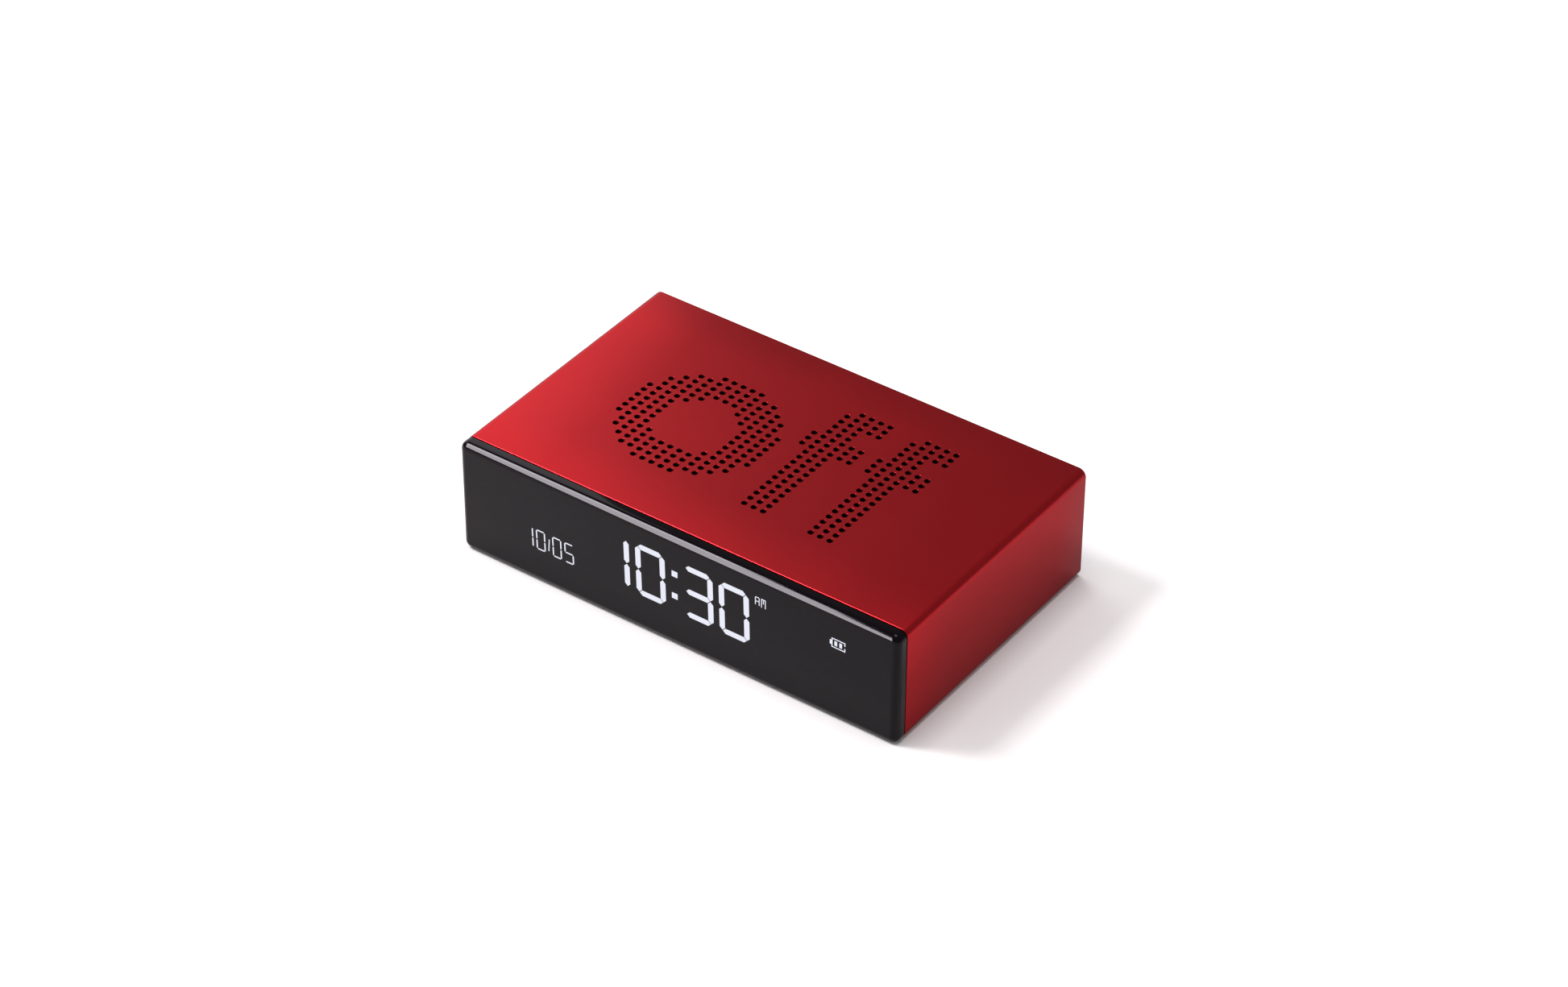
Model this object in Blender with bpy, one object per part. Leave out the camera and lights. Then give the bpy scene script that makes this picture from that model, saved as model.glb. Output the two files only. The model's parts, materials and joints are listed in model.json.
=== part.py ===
"""A flip-over travel alarm clock, built as the separate pieces that it is assembled from.

Frame: metres, +Z up, the display faces -Y, the keys and the charging port face +Y. The origin is on
the resting surface, in the middle of the clock's outline. Turning the clock half over about the Y axis
arms or silences the alarm, so both broad faces are perforated and either one is the top.
"""

import math

import bmesh
import bpy
from mathutils import Vector

MM = 0.001

# ---- outer body ----
BODY_WIDTH = 121.0 * MM
BODY_DEPTH = 74.6 * MM
BODY_HEIGHT = 30.2 * MM
SLEEVE_WALL = 1.6 * MM
EDGE_RADIUS = 2.0 * MM
SLEEVE_CHAMFER = 0.25 * MM
LENS_THICKNESS = 3.3 * MM
LENS_EDGE_RADIUS = 1.8 * MM
SMALLEST_CORNER = 0.3 * MM
ROUND_END_TRIM = 0.01 * MM

# ---- clearances ----
SEAT_GAP = 0.3 * MM
SOLDER_GAP = 0.1 * MM
KEY_GAP = 0.25 * MM
THREAD_GAP = 0.15 * MM
RUNNING_GAP = 0.2 * MM

# ---- lettering of sound holes ----
DOT_PITCH_X = 2.585 * MM
DOT_PITCH_Y = 2.352 * MM
DOT_DIAMETER = 1.55 * MM
DOT_SIDES = 4
LETTERING_SHIFT_X = -2.4 * MM
ROUND_LETTER_OUTER_RADIUS = 19.15 * MM
ROUND_LETTER_INNER_RADIUS = 9.7 * MM
ROUND_LETTER_INNER_DROP = 0.6 * MM
ROUND_LETTER_COLUMNS = 15
ROUND_LETTER_ROWS = 16
CLOTH_THICKNESS = 0.3 * MM
CLOTH_MARGIN = 3.0 * MM

# ---- display ----
FILM_THICKNESS = 0.2 * MM
LCD_THICKNESS = 2.2 * MM
GUIDE_THICKNESS = 2.0 * MM
DISPLAY_BOARD_THICKNESS = 1.0 * MM
ZEBRA_HEIGHT = 2.2 * MM
BEZEL_END_WIDTH = 9.0 * MM
BEZEL_RIM = 1.6 * MM
BEZEL_BACK_WALL = 1.6 * MM
LED_WIDTH = 1.0 * MM
LED_HEIGHT = 4.0 * MM

# ---- chassis ----
PLATE_THICKNESS = 1.5 * MM
RAIL_THICKNESS = 1.6 * MM
POST_SIZE = 7.0 * MM
POST_LENGTH = 7.0 * MM
POST_INSET = 4.6 * MM
BOSS_RADIUS = 2.2 * MM
BOSS_HEIGHT = 2.4 * MM

# ---- screws ----
SCREW_RADIUS = 1.0 * MM
SCREW_HEAD_RADIUS = 1.9 * MM
SCREW_HEAD_HEIGHT = 1.2 * MM
SCREW_RECESS_RADIUS = 0.9 * MM
SCREW_HEAD_SUNK_SHARE = 0.1
SCREW_HEAD_EDGE_SHARE = 0.55
SCREW_HEAD_FLAT_SHARE = 0.8
SCREW_BITE = 4.0 * MM

# ---- boards ----
BOARD_THICKNESS = 1.2 * MM
MAIN_BOARD_WIDTH = 44.0 * MM
MAIN_BOARD_DEPTH = 38.0 * MM
MAIN_BOARD_HOLE_INSET = 3.2 * MM
CHIP_SIZE = 10.0 * MM
CHIP_THICKNESS = 1.4 * MM
CRYSTAL_LENGTH = 7.0 * MM
CRYSTAL_DIAMETER = 2.4 * MM
INDUCTOR_DIAMETER = 7.0 * MM
INDUCTOR_HEIGHT = 4.2 * MM
INDUCTOR_WAIST_SHARE = 0.8
INDUCTOR_FLANGE_SHARE = 0.2
SOCKET_WIDTH = 6.0 * MM
SOCKET_DEPTH = 4.5 * MM
SOCKET_HEIGHT = 5.0 * MM
SOCKET_RIBBON_GAP = 4.9 * MM
SOCKET_MOUTH_SHARE = 0.7
LEAD_PLUGGED_SHARE = 0.6
RIBBON_WIDTH = 12.0 * MM
RIBBON_THICKNESS = 0.25 * MM

# ---- battery ----
BATTERY_WIDTH = 44.0 * MM
BATTERY_DEPTH = 34.0 * MM
BATTERY_THICKNESS = 5.0 * MM
BATTERY_CLEARANCE = 0.6 * MM
PAD_WIDTH = 30.0 * MM
PAD_DEPTH = 20.0 * MM
PAD_THICKNESS = 0.6 * MM
LEAD_DIAMETER = 1.2 * MM
LEAD_STEPS = 3
LEAD_SPACING = 2.0 * MM
LEAD_SLOT_WIDTH = 7.0 * MM
LEAD_SLOT_DEPTH = 4.0 * MM

# ---- speaker ----
SPEAKER_DIAMETER = 36.0 * MM
SPEAKER_FLANGE = 1.2 * MM
SPEAKER_BASKET_DEPTH = 3.4 * MM
SPEAKER_WALL = 1.0 * MM
SPEAKER_RIM = 2.6 * MM
SPEAKER_EAR_REACH = 3.4 * MM
SPEAKER_EAR_WIDTH = 8.0 * MM
MAGNET_DIAMETER = 20.0 * MM
MAGNET_THICKNESS = 3.0 * MM
CONE_THICKNESS = 0.4 * MM
CONE_TRAVEL = 0.25 * MM
CONE_CAP_RISE = (4.0, 3.4, 1.0)  # in thicknesses, at the middle, on the shoulder and at the foot of the dust cap
CONE_CAP_SHARES = (0.0, 0.2, 0.32)
CONE_ROLL_SHARES = (0.78, 0.84, 0.93, 1.0)
SPEAKER_TAG_X_SHARE = 0.8
SPEAKER_TAG_Y_SHARE = 0.6

# ---- orientation switch ----
TILT_CAN_DIAMETER = 6.6 * MM
TILT_CAN_HEIGHT = 9.0 * MM
TILT_CAN_WALL = 0.6 * MM
TILT_BASE_HEIGHT = 1.2 * MM
TILT_BALL_DIAMETER = 4.4 * MM

# ---- keys and charging port ----
KEY_NAMES = ("time", "alarm", "minus", "plus")
KEY_PITCH = 13.0 * MM
KEY_ROW_SHIFT_X = -10.0 * MM
KEY_FLANGE_REACH = 1.2 * MM
KEY_FLANGE_GAP = 1.2 * MM
KEY_WIDTH = KEY_PITCH - 2 * KEY_FLANGE_REACH - KEY_FLANGE_GAP
KEY_HEIGHT = 4.4 * MM
KEY_FLANGE_THICKNESS = 0.8 * MM
KEY_STEM_SIZE = 3.0 * MM
KEY_STEM_LENGTH = 1.4 * MM
KEY_PROUD = 0.25 * MM
KEY_TRAVEL = 0.5 * MM
KEY_EDGE = 0.3 * MM
SWITCH_SIZE = 6.0 * MM
SWITCH_THICKNESS = 3.2 * MM
PLUNGER_DIAMETER = 3.2 * MM
PLUNGER_PROUD = 1.0 * MM
PLUNGER_SUNK = 1.1 * MM
PORT_MARGIN = 3.63 * MM
PORT_WIDTH = 8.94 * MM
PORT_HEIGHT = 3.26 * MM
PORT_WALL = 0.3 * MM
PORT_FLOOR = 0.6 * MM
PORT_SUNK = 0.25 * MM
TONGUE_WIDTH = 6.7 * MM
TONGUE_THICKNESS = 0.7 * MM
TONGUE_SUNK = 0.9 * MM
PANEL_THICKNESS = 2.0 * MM
PANEL_SUNK = 0.4 * MM
KEY_BOARD_HEIGHT = 18.0 * MM
KEY_BOARD_MARGIN = 3.0 * MM
PANEL_POST_RADIUS = 2.0 * MM

# ---- levels worked out from the sizes above, front to back ----
FRONT_Y = -BODY_DEPTH / 2
REAR_Y = BODY_DEPTH / 2
LENS_BACK_Y = FRONT_Y + LENS_THICKNESS
SLEEVE_FRONT_Y = LENS_BACK_Y + SEAT_GAP
LCD_FRONT_Y = SLEEVE_FRONT_Y + FILM_THICKNESS + SOLDER_GAP
GUIDE_FRONT_Y = LCD_FRONT_Y + LCD_THICKNESS + SOLDER_GAP
DISPLAY_BOARD_FRONT_Y = GUIDE_FRONT_Y + GUIDE_THICKNESS + SOLDER_GAP
POCKET_FLOOR_Y = DISPLAY_BOARD_FRONT_Y + DISPLAY_BOARD_THICKNESS + SEAT_GAP
BEZEL_BACK_Y = POCKET_FLOOR_Y + BEZEL_BACK_WALL
CHASSIS_FRONT_Y = BEZEL_BACK_Y + SEAT_GAP
PANEL_OUTER_Y = REAR_Y - PANEL_SUNK
PANEL_INNER_Y = PANEL_OUTER_Y - PANEL_THICKNESS
CHASSIS_REAR_Y = PANEL_INNER_Y - SEAT_GAP
KEY_FLANGE_Y = PANEL_INNER_Y - SEAT_GAP
KEY_STEM_END_Y = KEY_FLANGE_Y - KEY_FLANGE_THICKNESS - KEY_STEM_LENGTH
PLUNGER_TOP_Y = KEY_STEM_END_Y - SOLDER_GAP
SWITCH_TOP_Y = PLUNGER_TOP_Y - PLUNGER_PROUD
KEY_BOARD_REAR_Y = SWITCH_TOP_Y - SWITCH_THICKNESS - SOLDER_GAP
KEY_BOARD_FRONT_Y = KEY_BOARD_REAR_Y - BOARD_THICKNESS
PLATE_REAR_Y = KEY_BOARD_FRONT_Y - SEAT_GAP

# ---- levels from the resting surface up ----
MID_Z = BODY_HEIGHT / 2
CLOTH_LOW_Z = SLEEVE_WALL + SEAT_GAP
BATTERY_LOW_Z = CLOTH_LOW_Z + CLOTH_THICKNESS + BATTERY_CLEARANCE
PAD_LOW_Z = BATTERY_LOW_Z + BATTERY_THICKNESS + SOLDER_GAP
PLATE_LOW_Z = PAD_LOW_Z + PAD_THICKNESS + SOLDER_GAP
PLATE_TOP_Z = PLATE_LOW_Z + PLATE_THICKNESS
MAIN_BOARD_LOW_Z = PLATE_TOP_Z + BOSS_HEIGHT + SOLDER_GAP
MAIN_BOARD_TOP_Z = MAIN_BOARD_LOW_Z + BOARD_THICKNESS
PART_LOW_Z = MAIN_BOARD_TOP_Z + SOLDER_GAP

# ---- widths ----
CAVITY_WIDTH = BODY_WIDTH - 2 * SLEEVE_WALL
CAVITY_HEIGHT = BODY_HEIGHT - 2 * SLEEVE_WALL
CAVITY_RADIUS = max(EDGE_RADIUS - SLEEVE_WALL, SMALLEST_CORNER)
INSERT_WIDTH = CAVITY_WIDTH - 2 * SEAT_GAP
INSERT_HEIGHT = CAVITY_HEIGHT - 2 * SEAT_GAP
POCKET_WIDTH = INSERT_WIDTH - 2 * BEZEL_END_WIDTH
POCKET_HEIGHT = INSERT_HEIGHT - 2 * BEZEL_RIM
PACK_WIDTH = POCKET_WIDTH - 2 * SEAT_GAP
PACK_HEIGHT = POCKET_HEIGHT - 2 * SEAT_GAP
POST_X = INSERT_WIDTH / 2 - POST_INSET

# ---- places in plan ----
SPEAKER_RADIUS = SPEAKER_DIAMETER / 2
SPEAKER_HOLE_RADIUS = SPEAKER_RADIUS - SPEAKER_RIM + RUNNING_GAP
EAR_HOLE_X = SPEAKER_RADIUS + SPEAKER_EAR_REACH - SPEAKER_EAR_WIDTH / 2 + SCREW_RADIUS


def lettering_left_x(columns):
    """Where a line of lettering that is this many dots wide starts, so that it sits about the middle."""
    return LETTERING_SHIFT_X - (columns - 1) * DOT_PITCH_X / 2


OFF_COLUMNS = 29
ON_COLUMNS = 26
LETTERING_ROWS = 19
LETTERING_FRONT_Y = -(ROUND_LETTER_ROWS - 1) * DOT_PITCH_Y / 2
ROUND_LETTER_X = lettering_left_x(OFF_COLUMNS) + (ROUND_LETTER_COLUMNS - 1) * DOT_PITCH_X / 2
SPEAKER_X = ROUND_LETTER_X
MAIN_BOARD_LEFT_X = SPEAKER_X + SPEAKER_RADIUS + SPEAKER_EAR_REACH + 2 * RUNNING_GAP
MAIN_BOARD_X = MAIN_BOARD_LEFT_X + MAIN_BOARD_WIDTH / 2
MAIN_BOARD_Y = CHASSIS_FRONT_Y + POST_LENGTH / 2 + MAIN_BOARD_DEPTH / 2
BATTERY_X = MAIN_BOARD_LEFT_X + BATTERY_WIDTH / 2
BATTERY_Y = MAIN_BOARD_Y - LEAD_SLOT_DEPTH / 2
LEAD_SLOT_Y = MAIN_BOARD_Y + MAIN_BOARD_DEPTH / 2 + LEAD_SLOT_DEPTH / 2


# ======== tools ========


def clear_scene():
    for obj in list(bpy.data.objects):
        bpy.data.objects.remove(obj, do_unlink=True)


def finish(name, color, roughness, metallic=0.0, alpha=1.0):
    """A plain material with the colour of the real one."""
    material = bpy.data.materials.new(name)
    material.use_nodes = True
    shader = material.node_tree.nodes["Principled BSDF"]
    shader.inputs["Base Color"].default_value = (*color, 1.0)
    shader.inputs["Roughness"].default_value = roughness
    shader.inputs["Metallic"].default_value = metallic
    shader.inputs["Alpha"].default_value = alpha
    return material


def add_object(name, bm, material):
    """Puts a finished bmesh into the scene as one object, with its faces pointing out."""
    bmesh.ops.recalc_face_normals(bm, faces=bm.faces)
    mesh = bpy.data.meshes.new(name)
    bm.to_mesh(mesh)
    bm.free()
    if material:
        mesh.materials.append(material)
    obj = bpy.data.objects.new(name, mesh)
    bpy.context.scene.collection.objects.link(obj)
    return obj


def shade_round(obj, angle=40):
    obj.data.shade_smooth()
    obj.data.set_sharp_from_angle(angle=math.radians(angle))
    return obj


def helper(obj):
    """Marks a cutter or a shape that is fused into another, so that it isn't a piece of its own."""
    obj.hide_render = True
    obj.display_type = "WIRE"
    return obj


def combine(obj, other, operation):
    modifier = obj.modifiers.new(f"{operation.lower()}_{other.name}", "BOOLEAN")
    modifier.operation = operation
    modifier.object = helper(other)
    return obj


def cut(obj, cutter):
    return combine(obj, cutter, "DIFFERENCE")


def fuse(obj, other):
    return combine(obj, other, "UNION")


def rounded_rect(width, height, radius, arc_steps=4):
    """Points round a rectangle with round corners about (0, 0), anticlockwise from its right side."""
    points = []
    for corner, (sx, sy) in enumerate(((1, 1), (-1, 1), (-1, -1), (1, -1))):
        for step in range(arc_steps + 1):
            angle = math.radians(90 * (corner + step / arc_steps))
            across = sx * (width / 2 - radius) + radius * math.cos(angle)
            along = sy * (height / 2 - radius) + radius * math.sin(angle)
            points.append((across, along))
    return points


def circle(radius, sides=24):
    turns = (2 * math.pi * side / sides for side in range(sides))
    return [(radius * math.cos(turn), radius * math.sin(turn)) for turn in turns]


def place(points, axis, level, center):
    """Flat points as points in space: axis is the one that level is along, and center is on the others."""
    (cu, cv), found = center, []
    for u, v in points:
        at = [cu + u, cv + v]
        at.insert("XYZ".index(axis), level)
        found.append(Vector(at))
    return found


def add_prism(bm, outline, axis, low, high, center=(0, 0)):
    """Extrudes a flat outline between two levels of an axis, and returns the edges round its low end."""
    rim = [bm.verts.new(p) for p in place(outline, axis, low, center)]
    face = bm.faces.new(rim)
    edges = list(face.edges)
    top = bmesh.ops.extrude_face_region(bm, geom=[face], use_keep_orig=True)["geom"]
    lift = Vector(place([(0, 0)], axis, high - low, (0, 0))[0])
    moved = [v for v in top if isinstance(v, bmesh.types.BMVert)]
    bmesh.ops.translate(bm, verts=moved, vec=lift)
    return edges


def prism(name, outline, axis, low, high, center=(0, 0), material=None):
    bm = bmesh.new()
    add_prism(bm, outline, axis, low, high, center)
    return add_object(name, bm, material)


def box(name, size, low, center, material=None):
    """A block that stands on the level low, with the arrises of its sides taken off."""
    width, depth, height = size
    outline = rounded_rect(width, depth, SMALLEST_CORNER, 1)
    return prism(name, outline, "Z", low, low + height, center, material)


def plate(name, width, height, radius, low, high, center=(0, 0), material=None):
    """A plate that stands upright across the clock, between two levels of Y."""
    return prism(name, rounded_rect(width, height, radius), "Y", low, high, center, material)


def stack(name, layers, axis, center, material):
    """A solid through outlines with as many points each, at their levels along an axis."""
    bm = bmesh.new()
    loops = [[bm.verts.new(p) for p in place(outline, axis, level, center)] for outline, level in layers]
    for lower, upper in zip(loops, loops[1:]):
        for i, corner in enumerate(lower):
            bm.faces.new((lower[i - 1], corner, upper[i], upper[i - 1]))
    bm.faces.new(loops[0])
    bm.faces.new(loops[-1])
    return shade_round(add_object(name, bm, material))


def turned(name, profile, axis, center, material, steps=24):
    """A piece turned about an axis: profile is (radius, level) points, closed on itself or on the axis."""
    bm = bmesh.new()
    index = "XYZ".index(axis)
    spin_axis = Vector([float(k == index) for k in range(3)])
    across = Vector([float(k == (index + 1) % 3) for k in range(3)])
    base = Vector(place([(0, 0)], axis, 0, center)[0])
    verts = [bm.verts.new(base + across * radius + spin_axis * level) for radius, level in profile]
    edges = [bm.edges.new(pair) for pair in zip(verts, verts[1:])]
    if profile[0][0] > 0:
        edges.append(bm.edges.new((verts[-1], verts[0])))
    bmesh.ops.spin(bm, geom=verts + edges, cent=base, axis=spin_axis, angle=2 * math.pi,
                   steps=steps, use_merge=True)
    bmesh.ops.remove_doubles(bm, verts=bm.verts, dist=1e-7)
    return shade_round(add_object(name, bm, material))


def strip(name, path, thickness, width, center_x, material):
    """A flat ribbon: path is its (y, z) points, and it is as wide as width along X."""
    bm = bmesh.new()
    upper = [(y, z + thickness / 2) for y, z in path]
    lower = [(y, z - thickness / 2) for y, z in reversed(path)]
    add_prism(bm, upper + lower, "X", center_x - width / 2, center_x + width / 2)
    return add_object(name, bm, material)


def lead(name, route, material):
    """A wire along a smooth curve through the points of its route."""
    points = []
    for before, start, end, after in zip(route[:1] + route, route, route[1:], route[2:] + route[-1:]):
        for step in range(LEAD_STEPS):
            points.append(between(before, start, end, after, step / LEAD_STEPS))
    points.append(Vector(route[-1]))
    curve = bpy.data.curves.new(name, "CURVE")
    curve.dimensions = "3D"
    curve.bevel_depth = LEAD_DIAMETER / 2
    curve.bevel_resolution = 1
    curve.use_fill_caps = True
    spline = curve.splines.new("POLY")
    spline.points.add(len(points) - 1)
    for point, spot in zip(spline.points, points):
        point.co = (*spot, 1)
    curve.materials.append(material)
    obj = bpy.data.objects.new(name, curve)
    bpy.context.scene.collection.objects.link(obj)
    return obj


def between(before, start, end, after, share):
    """A point of the Catmull-Rom curve between start and end."""
    a, b, c, d = (Vector(p) for p in (before, start, end, after))
    return 0.5 * ((2 * b) + (c - a) * share + (2 * a - 5 * b + 4 * c - d) * share**2
                  + (3 * b - a - 3 * c + d) * share**3)


# ======== lettering ========


def bars(*ranges):
    """Dots of straight strokes, each given as its first and last column and first and last row."""
    return {(c, r) for c0, c1, r0, r1 in ranges for c in range(c0, c1 + 1) for r in range(r0, r1 + 1)}


def round_letter():
    """The O: the dots between an outer circle and an inner one whose centre is a little lower."""
    dots = set()
    for column in range(ROUND_LETTER_COLUMNS):
        for row in range(ROUND_LETTER_ROWS):
            across = (column - (ROUND_LETTER_COLUMNS - 1) / 2) * DOT_PITCH_X
            along = (row - (ROUND_LETTER_ROWS - 1) / 2) * DOT_PITCH_Y
            outer = math.hypot(across, along) < ROUND_LETTER_OUTER_RADIUS
            inner = math.hypot(across, along + ROUND_LETTER_INNER_DROP) > ROUND_LETTER_INNER_RADIUS
            if outer and inner:
                dots.add((column, row))
    return dots


def shifted(dots, columns):
    return {(column + columns, row) for column, row in dots}


def hook_letter():
    """The f: a stem, a crossbar, and a hook without its outer corner."""
    return (bars((1, 3, 0, 17), (0, 5, 11, 13), (1, 5, 16, 18))) - {(1, 18)}


def arch_letter():
    """The n: a stem, a shoulder, and a right leg without its outer corner."""
    return (bars((0, 2, 0, 12), (3, 9, 10, 12), (7, 9, 0, 11))) - {(9, 12)}


def off_dots():
    return round_letter() | shifted(hook_letter(), 16) | shifted(hook_letter(), 23)


def on_dots():
    return round_letter() | shifted(arch_letter(), 16)


def sound_hole_cutter(name, dots, columns, side, low, high):
    """Every hole of one face as one cutter. side is -1 on the face that reads when the clock is over."""
    bm = bmesh.new()
    left = lettering_left_x(columns)
    for column, row in sorted(dots):
        center = (side * (left + column * DOT_PITCH_X), LETTERING_FRONT_Y + row * DOT_PITCH_Y)
        add_prism(bm, circle(DOT_DIAMETER / 2, DOT_SIDES), "Z", low, high, center)
    return add_object(name, bm, None)


# ======== shells ========


def build_sleeve(paint):
    """The extruded aluminium sleeve, open at both ends and perforated on both broad faces."""
    bm = bmesh.new()
    ends = {}
    for outline, side in ((rounded_rect(BODY_WIDTH, BODY_HEIGHT, EDGE_RADIUS, 6), "outer"),
                          (rounded_rect(CAVITY_WIDTH, CAVITY_HEIGHT, CAVITY_RADIUS, 6), "inner")):
        for level in (SLEEVE_FRONT_Y, REAR_Y):
            ends[side, level] = [bm.verts.new(p) for p in place(outline, "Y", level, (0, MID_Z))]
    for first, second in ((("outer", SLEEVE_FRONT_Y), ("outer", REAR_Y)),
                          (("outer", REAR_Y), ("inner", REAR_Y)),
                          (("inner", REAR_Y), ("inner", SLEEVE_FRONT_Y)),
                          (("inner", SLEEVE_FRONT_Y), ("outer", SLEEVE_FRONT_Y))):
        a, b = ends[first], ends[second]
        for i in range(len(a)):
            bm.faces.new((a[i - 1], a[i], b[i], b[i - 1]))
    loops = (ends["outer", SLEEVE_FRONT_Y], ends["outer", REAR_Y])
    rims = [bm.edges.get((loop[i - 1], loop[i])) for loop in loops for i in range(len(loop))]
    bmesh.ops.bevel(bm, geom=rims, offset=SLEEVE_CHAMFER, segments=1, affect="EDGES")
    sleeve = shade_round(add_object("housing_sleeve", bm, paint))
    past = SLEEVE_WALL / 2
    top = (BODY_HEIGHT - SLEEVE_WALL - past, BODY_HEIGHT + past)
    bottom = (-past, SLEEVE_WALL + past)
    cut(sleeve, sound_hole_cutter("off_holes", off_dots(), OFF_COLUMNS, 1, *top))
    cut(sleeve, sound_hole_cutter("on_holes", on_dots(), ON_COLUMNS, -1, *bottom))
    return sleeve


def build_grille_cloths(cloth):
    """Black acoustic cloth behind the holes of each face."""
    width = (OFF_COLUMNS - 1) * DOT_PITCH_X + DOT_DIAMETER + 2 * CLOTH_MARGIN
    depth = (LETTERING_ROWS - 1) * DOT_PITCH_Y + DOT_DIAMETER + 2 * CLOTH_MARGIN
    middle_y = LETTERING_FRONT_Y + (LETTERING_ROWS - 1) * DOT_PITCH_Y / 2
    outline = rounded_rect(width, depth, CLOTH_MARGIN, 3)
    top_z = BODY_HEIGHT - CLOTH_LOW_Z
    prism("grille_cloth_top", outline, "Z", top_z - CLOTH_THICKNESS, top_z,
          (LETTERING_SHIFT_X, middle_y), cloth)
    prism("grille_cloth_bottom", outline, "Z", CLOTH_LOW_Z, CLOTH_LOW_Z + CLOTH_THICKNESS,
          (-LETTERING_SHIFT_X, middle_y), cloth)


def build_front_lens(acrylic):
    """The smoked front window: a full-face plate with a rounded front edge, bonded to the bezel."""
    bm = bmesh.new()
    outline = rounded_rect(BODY_WIDTH, BODY_HEIGHT, EDGE_RADIUS, 6)
    rim = add_prism(bm, outline, "Y", FRONT_Y, LENS_BACK_Y, (0, MID_Z))
    bmesh.ops.bevel(bm, geom=rim, offset=LENS_EDGE_RADIUS, segments=6, profile=0.5, affect="EDGES")
    bmesh.ops.remove_doubles(bm, verts=bm.verts, dist=1e-6)
    return shade_round(add_object("front_lens", bm, acrylic))


def build_front_bezel(plastic):
    """The tray behind the lens: it holds the display pack and plugs into the sleeve."""
    bezel = plate("front_bezel", INSERT_WIDTH, INSERT_HEIGHT, CAVITY_RADIUS,
                  SLEEVE_FRONT_Y, BEZEL_BACK_Y, (0, MID_Z), plastic)
    past = SEAT_GAP
    cut(bezel, plate("display_pocket", POCKET_WIDTH, POCKET_HEIGHT, SMALLEST_CORNER,
                     SLEEVE_FRONT_Y - past, POCKET_FLOOR_Y, (0, MID_Z)))
    bm = bmesh.new()
    slot = rounded_rect(RIBBON_WIDTH + 2 * SEAT_GAP, 3 * SEAT_GAP + RIBBON_THICKNESS, SMALLEST_CORNER)
    add_prism(bm, slot, "Y", POCKET_FLOOR_Y - past, BEZEL_BACK_Y + past, (MAIN_BOARD_X, RIBBON_Z))
    for side in (-1, 1):
        add_prism(bm, circle(SCREW_RADIUS + THREAD_GAP, 12), "Y", BEZEL_BACK_Y - SCREW_BITE - SEAT_GAP,
                  BEZEL_BACK_Y + past, (side * POST_X, MID_Z))
    cut(bezel, add_object("bezel_openings", bm, None))
    return bezel


def build_rear_panel(plastic):
    """The back panel with the openings for the keys, the charging port and its two screws."""
    panel = plate("rear_panel", INSERT_WIDTH, INSERT_HEIGHT, CAVITY_RADIUS,
                  PANEL_INNER_Y, PANEL_OUTER_Y, (0, MID_Z), plastic)
    posts = bmesh.new()
    for x in KEY_BOARD_POSTS:
        add_prism(posts, circle(PANEL_POST_RADIUS, 12), "Y", KEY_BOARD_REAR_Y + SOLDER_GAP,
                  PANEL_INNER_Y + SEAT_GAP, (x, MID_Z))
    fuse(panel, add_object("panel_posts", posts, None))
    past = SEAT_GAP
    bm = bmesh.new()
    for x in KEY_X:
        hole = rounded_rect(KEY_WIDTH + 2 * KEY_GAP, KEY_HEIGHT + 2 * KEY_GAP,
                            KEY_HEIGHT / 2 + KEY_GAP - ROUND_END_TRIM, 5)
        add_prism(bm, hole, "Y", PANEL_INNER_Y - past, PANEL_OUTER_Y + past, (x, MID_Z))
    mouth = rounded_rect(PORT_WIDTH + 2 * KEY_GAP, PORT_HEIGHT + 2 * KEY_GAP,
                         PORT_HEIGHT / 2 + KEY_GAP - ROUND_END_TRIM, 5)
    add_prism(bm, mouth, "Y", PANEL_INNER_Y - past, PANEL_OUTER_Y + past, (PORT_X, MID_Z))
    for side in (-1, 1):
        add_prism(bm, circle(SCREW_RADIUS + RUNNING_GAP, 12), "Y", PANEL_INNER_Y - past,
                  PANEL_OUTER_Y + past, (side * POST_X, MID_Z))
    for x in KEY_BOARD_POSTS:
        add_prism(bm, circle(SCREW_RADIUS + THREAD_GAP, 12), "Y", KEY_BOARD_REAR_Y - past,
                  PANEL_INNER_Y - THREAD_GAP, (x, MID_Z))
    cut(panel, add_object("panel_openings", bm, None))
    sinks = bmesh.new()
    for side in (-1, 1):
        add_prism(sinks, circle(SCREW_HEAD_RADIUS + RUNNING_GAP, 20), "Y",
                  PANEL_OUTER_Y - SCREW_HEAD_HEIGHT, PANEL_OUTER_Y + past, (side * POST_X, MID_Z))
    cut(panel, add_object("screw_sinks", sinks, None))
    return panel


# ======== screws ========


def build_screw(name, axis, seat, center, length, steel, out=1):
    """A pan-head screw. seat is the level under its head, and out is which way the head faces."""
    head = SCREW_HEAD_HEIGHT * (1 - SCREW_HEAD_SUNK_SHARE)
    edge = seat + out * head * SCREW_HEAD_EDGE_SHARE
    profile = [
        (0, edge),
        (SCREW_RECESS_RADIUS, seat + out * head),
        (SCREW_HEAD_RADIUS * SCREW_HEAD_FLAT_SHARE, seat + out * head),
        (SCREW_HEAD_RADIUS, edge),
        (SCREW_HEAD_RADIUS, seat + out * SOLDER_GAP),
        (SCREW_RADIUS, seat + out * SOLDER_GAP),
        (SCREW_RADIUS, seat - out * (length - SCREW_RADIUS)),
        (0, seat - out * length),
    ]
    return turned(name, profile, axis, center, steel, 12)


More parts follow.
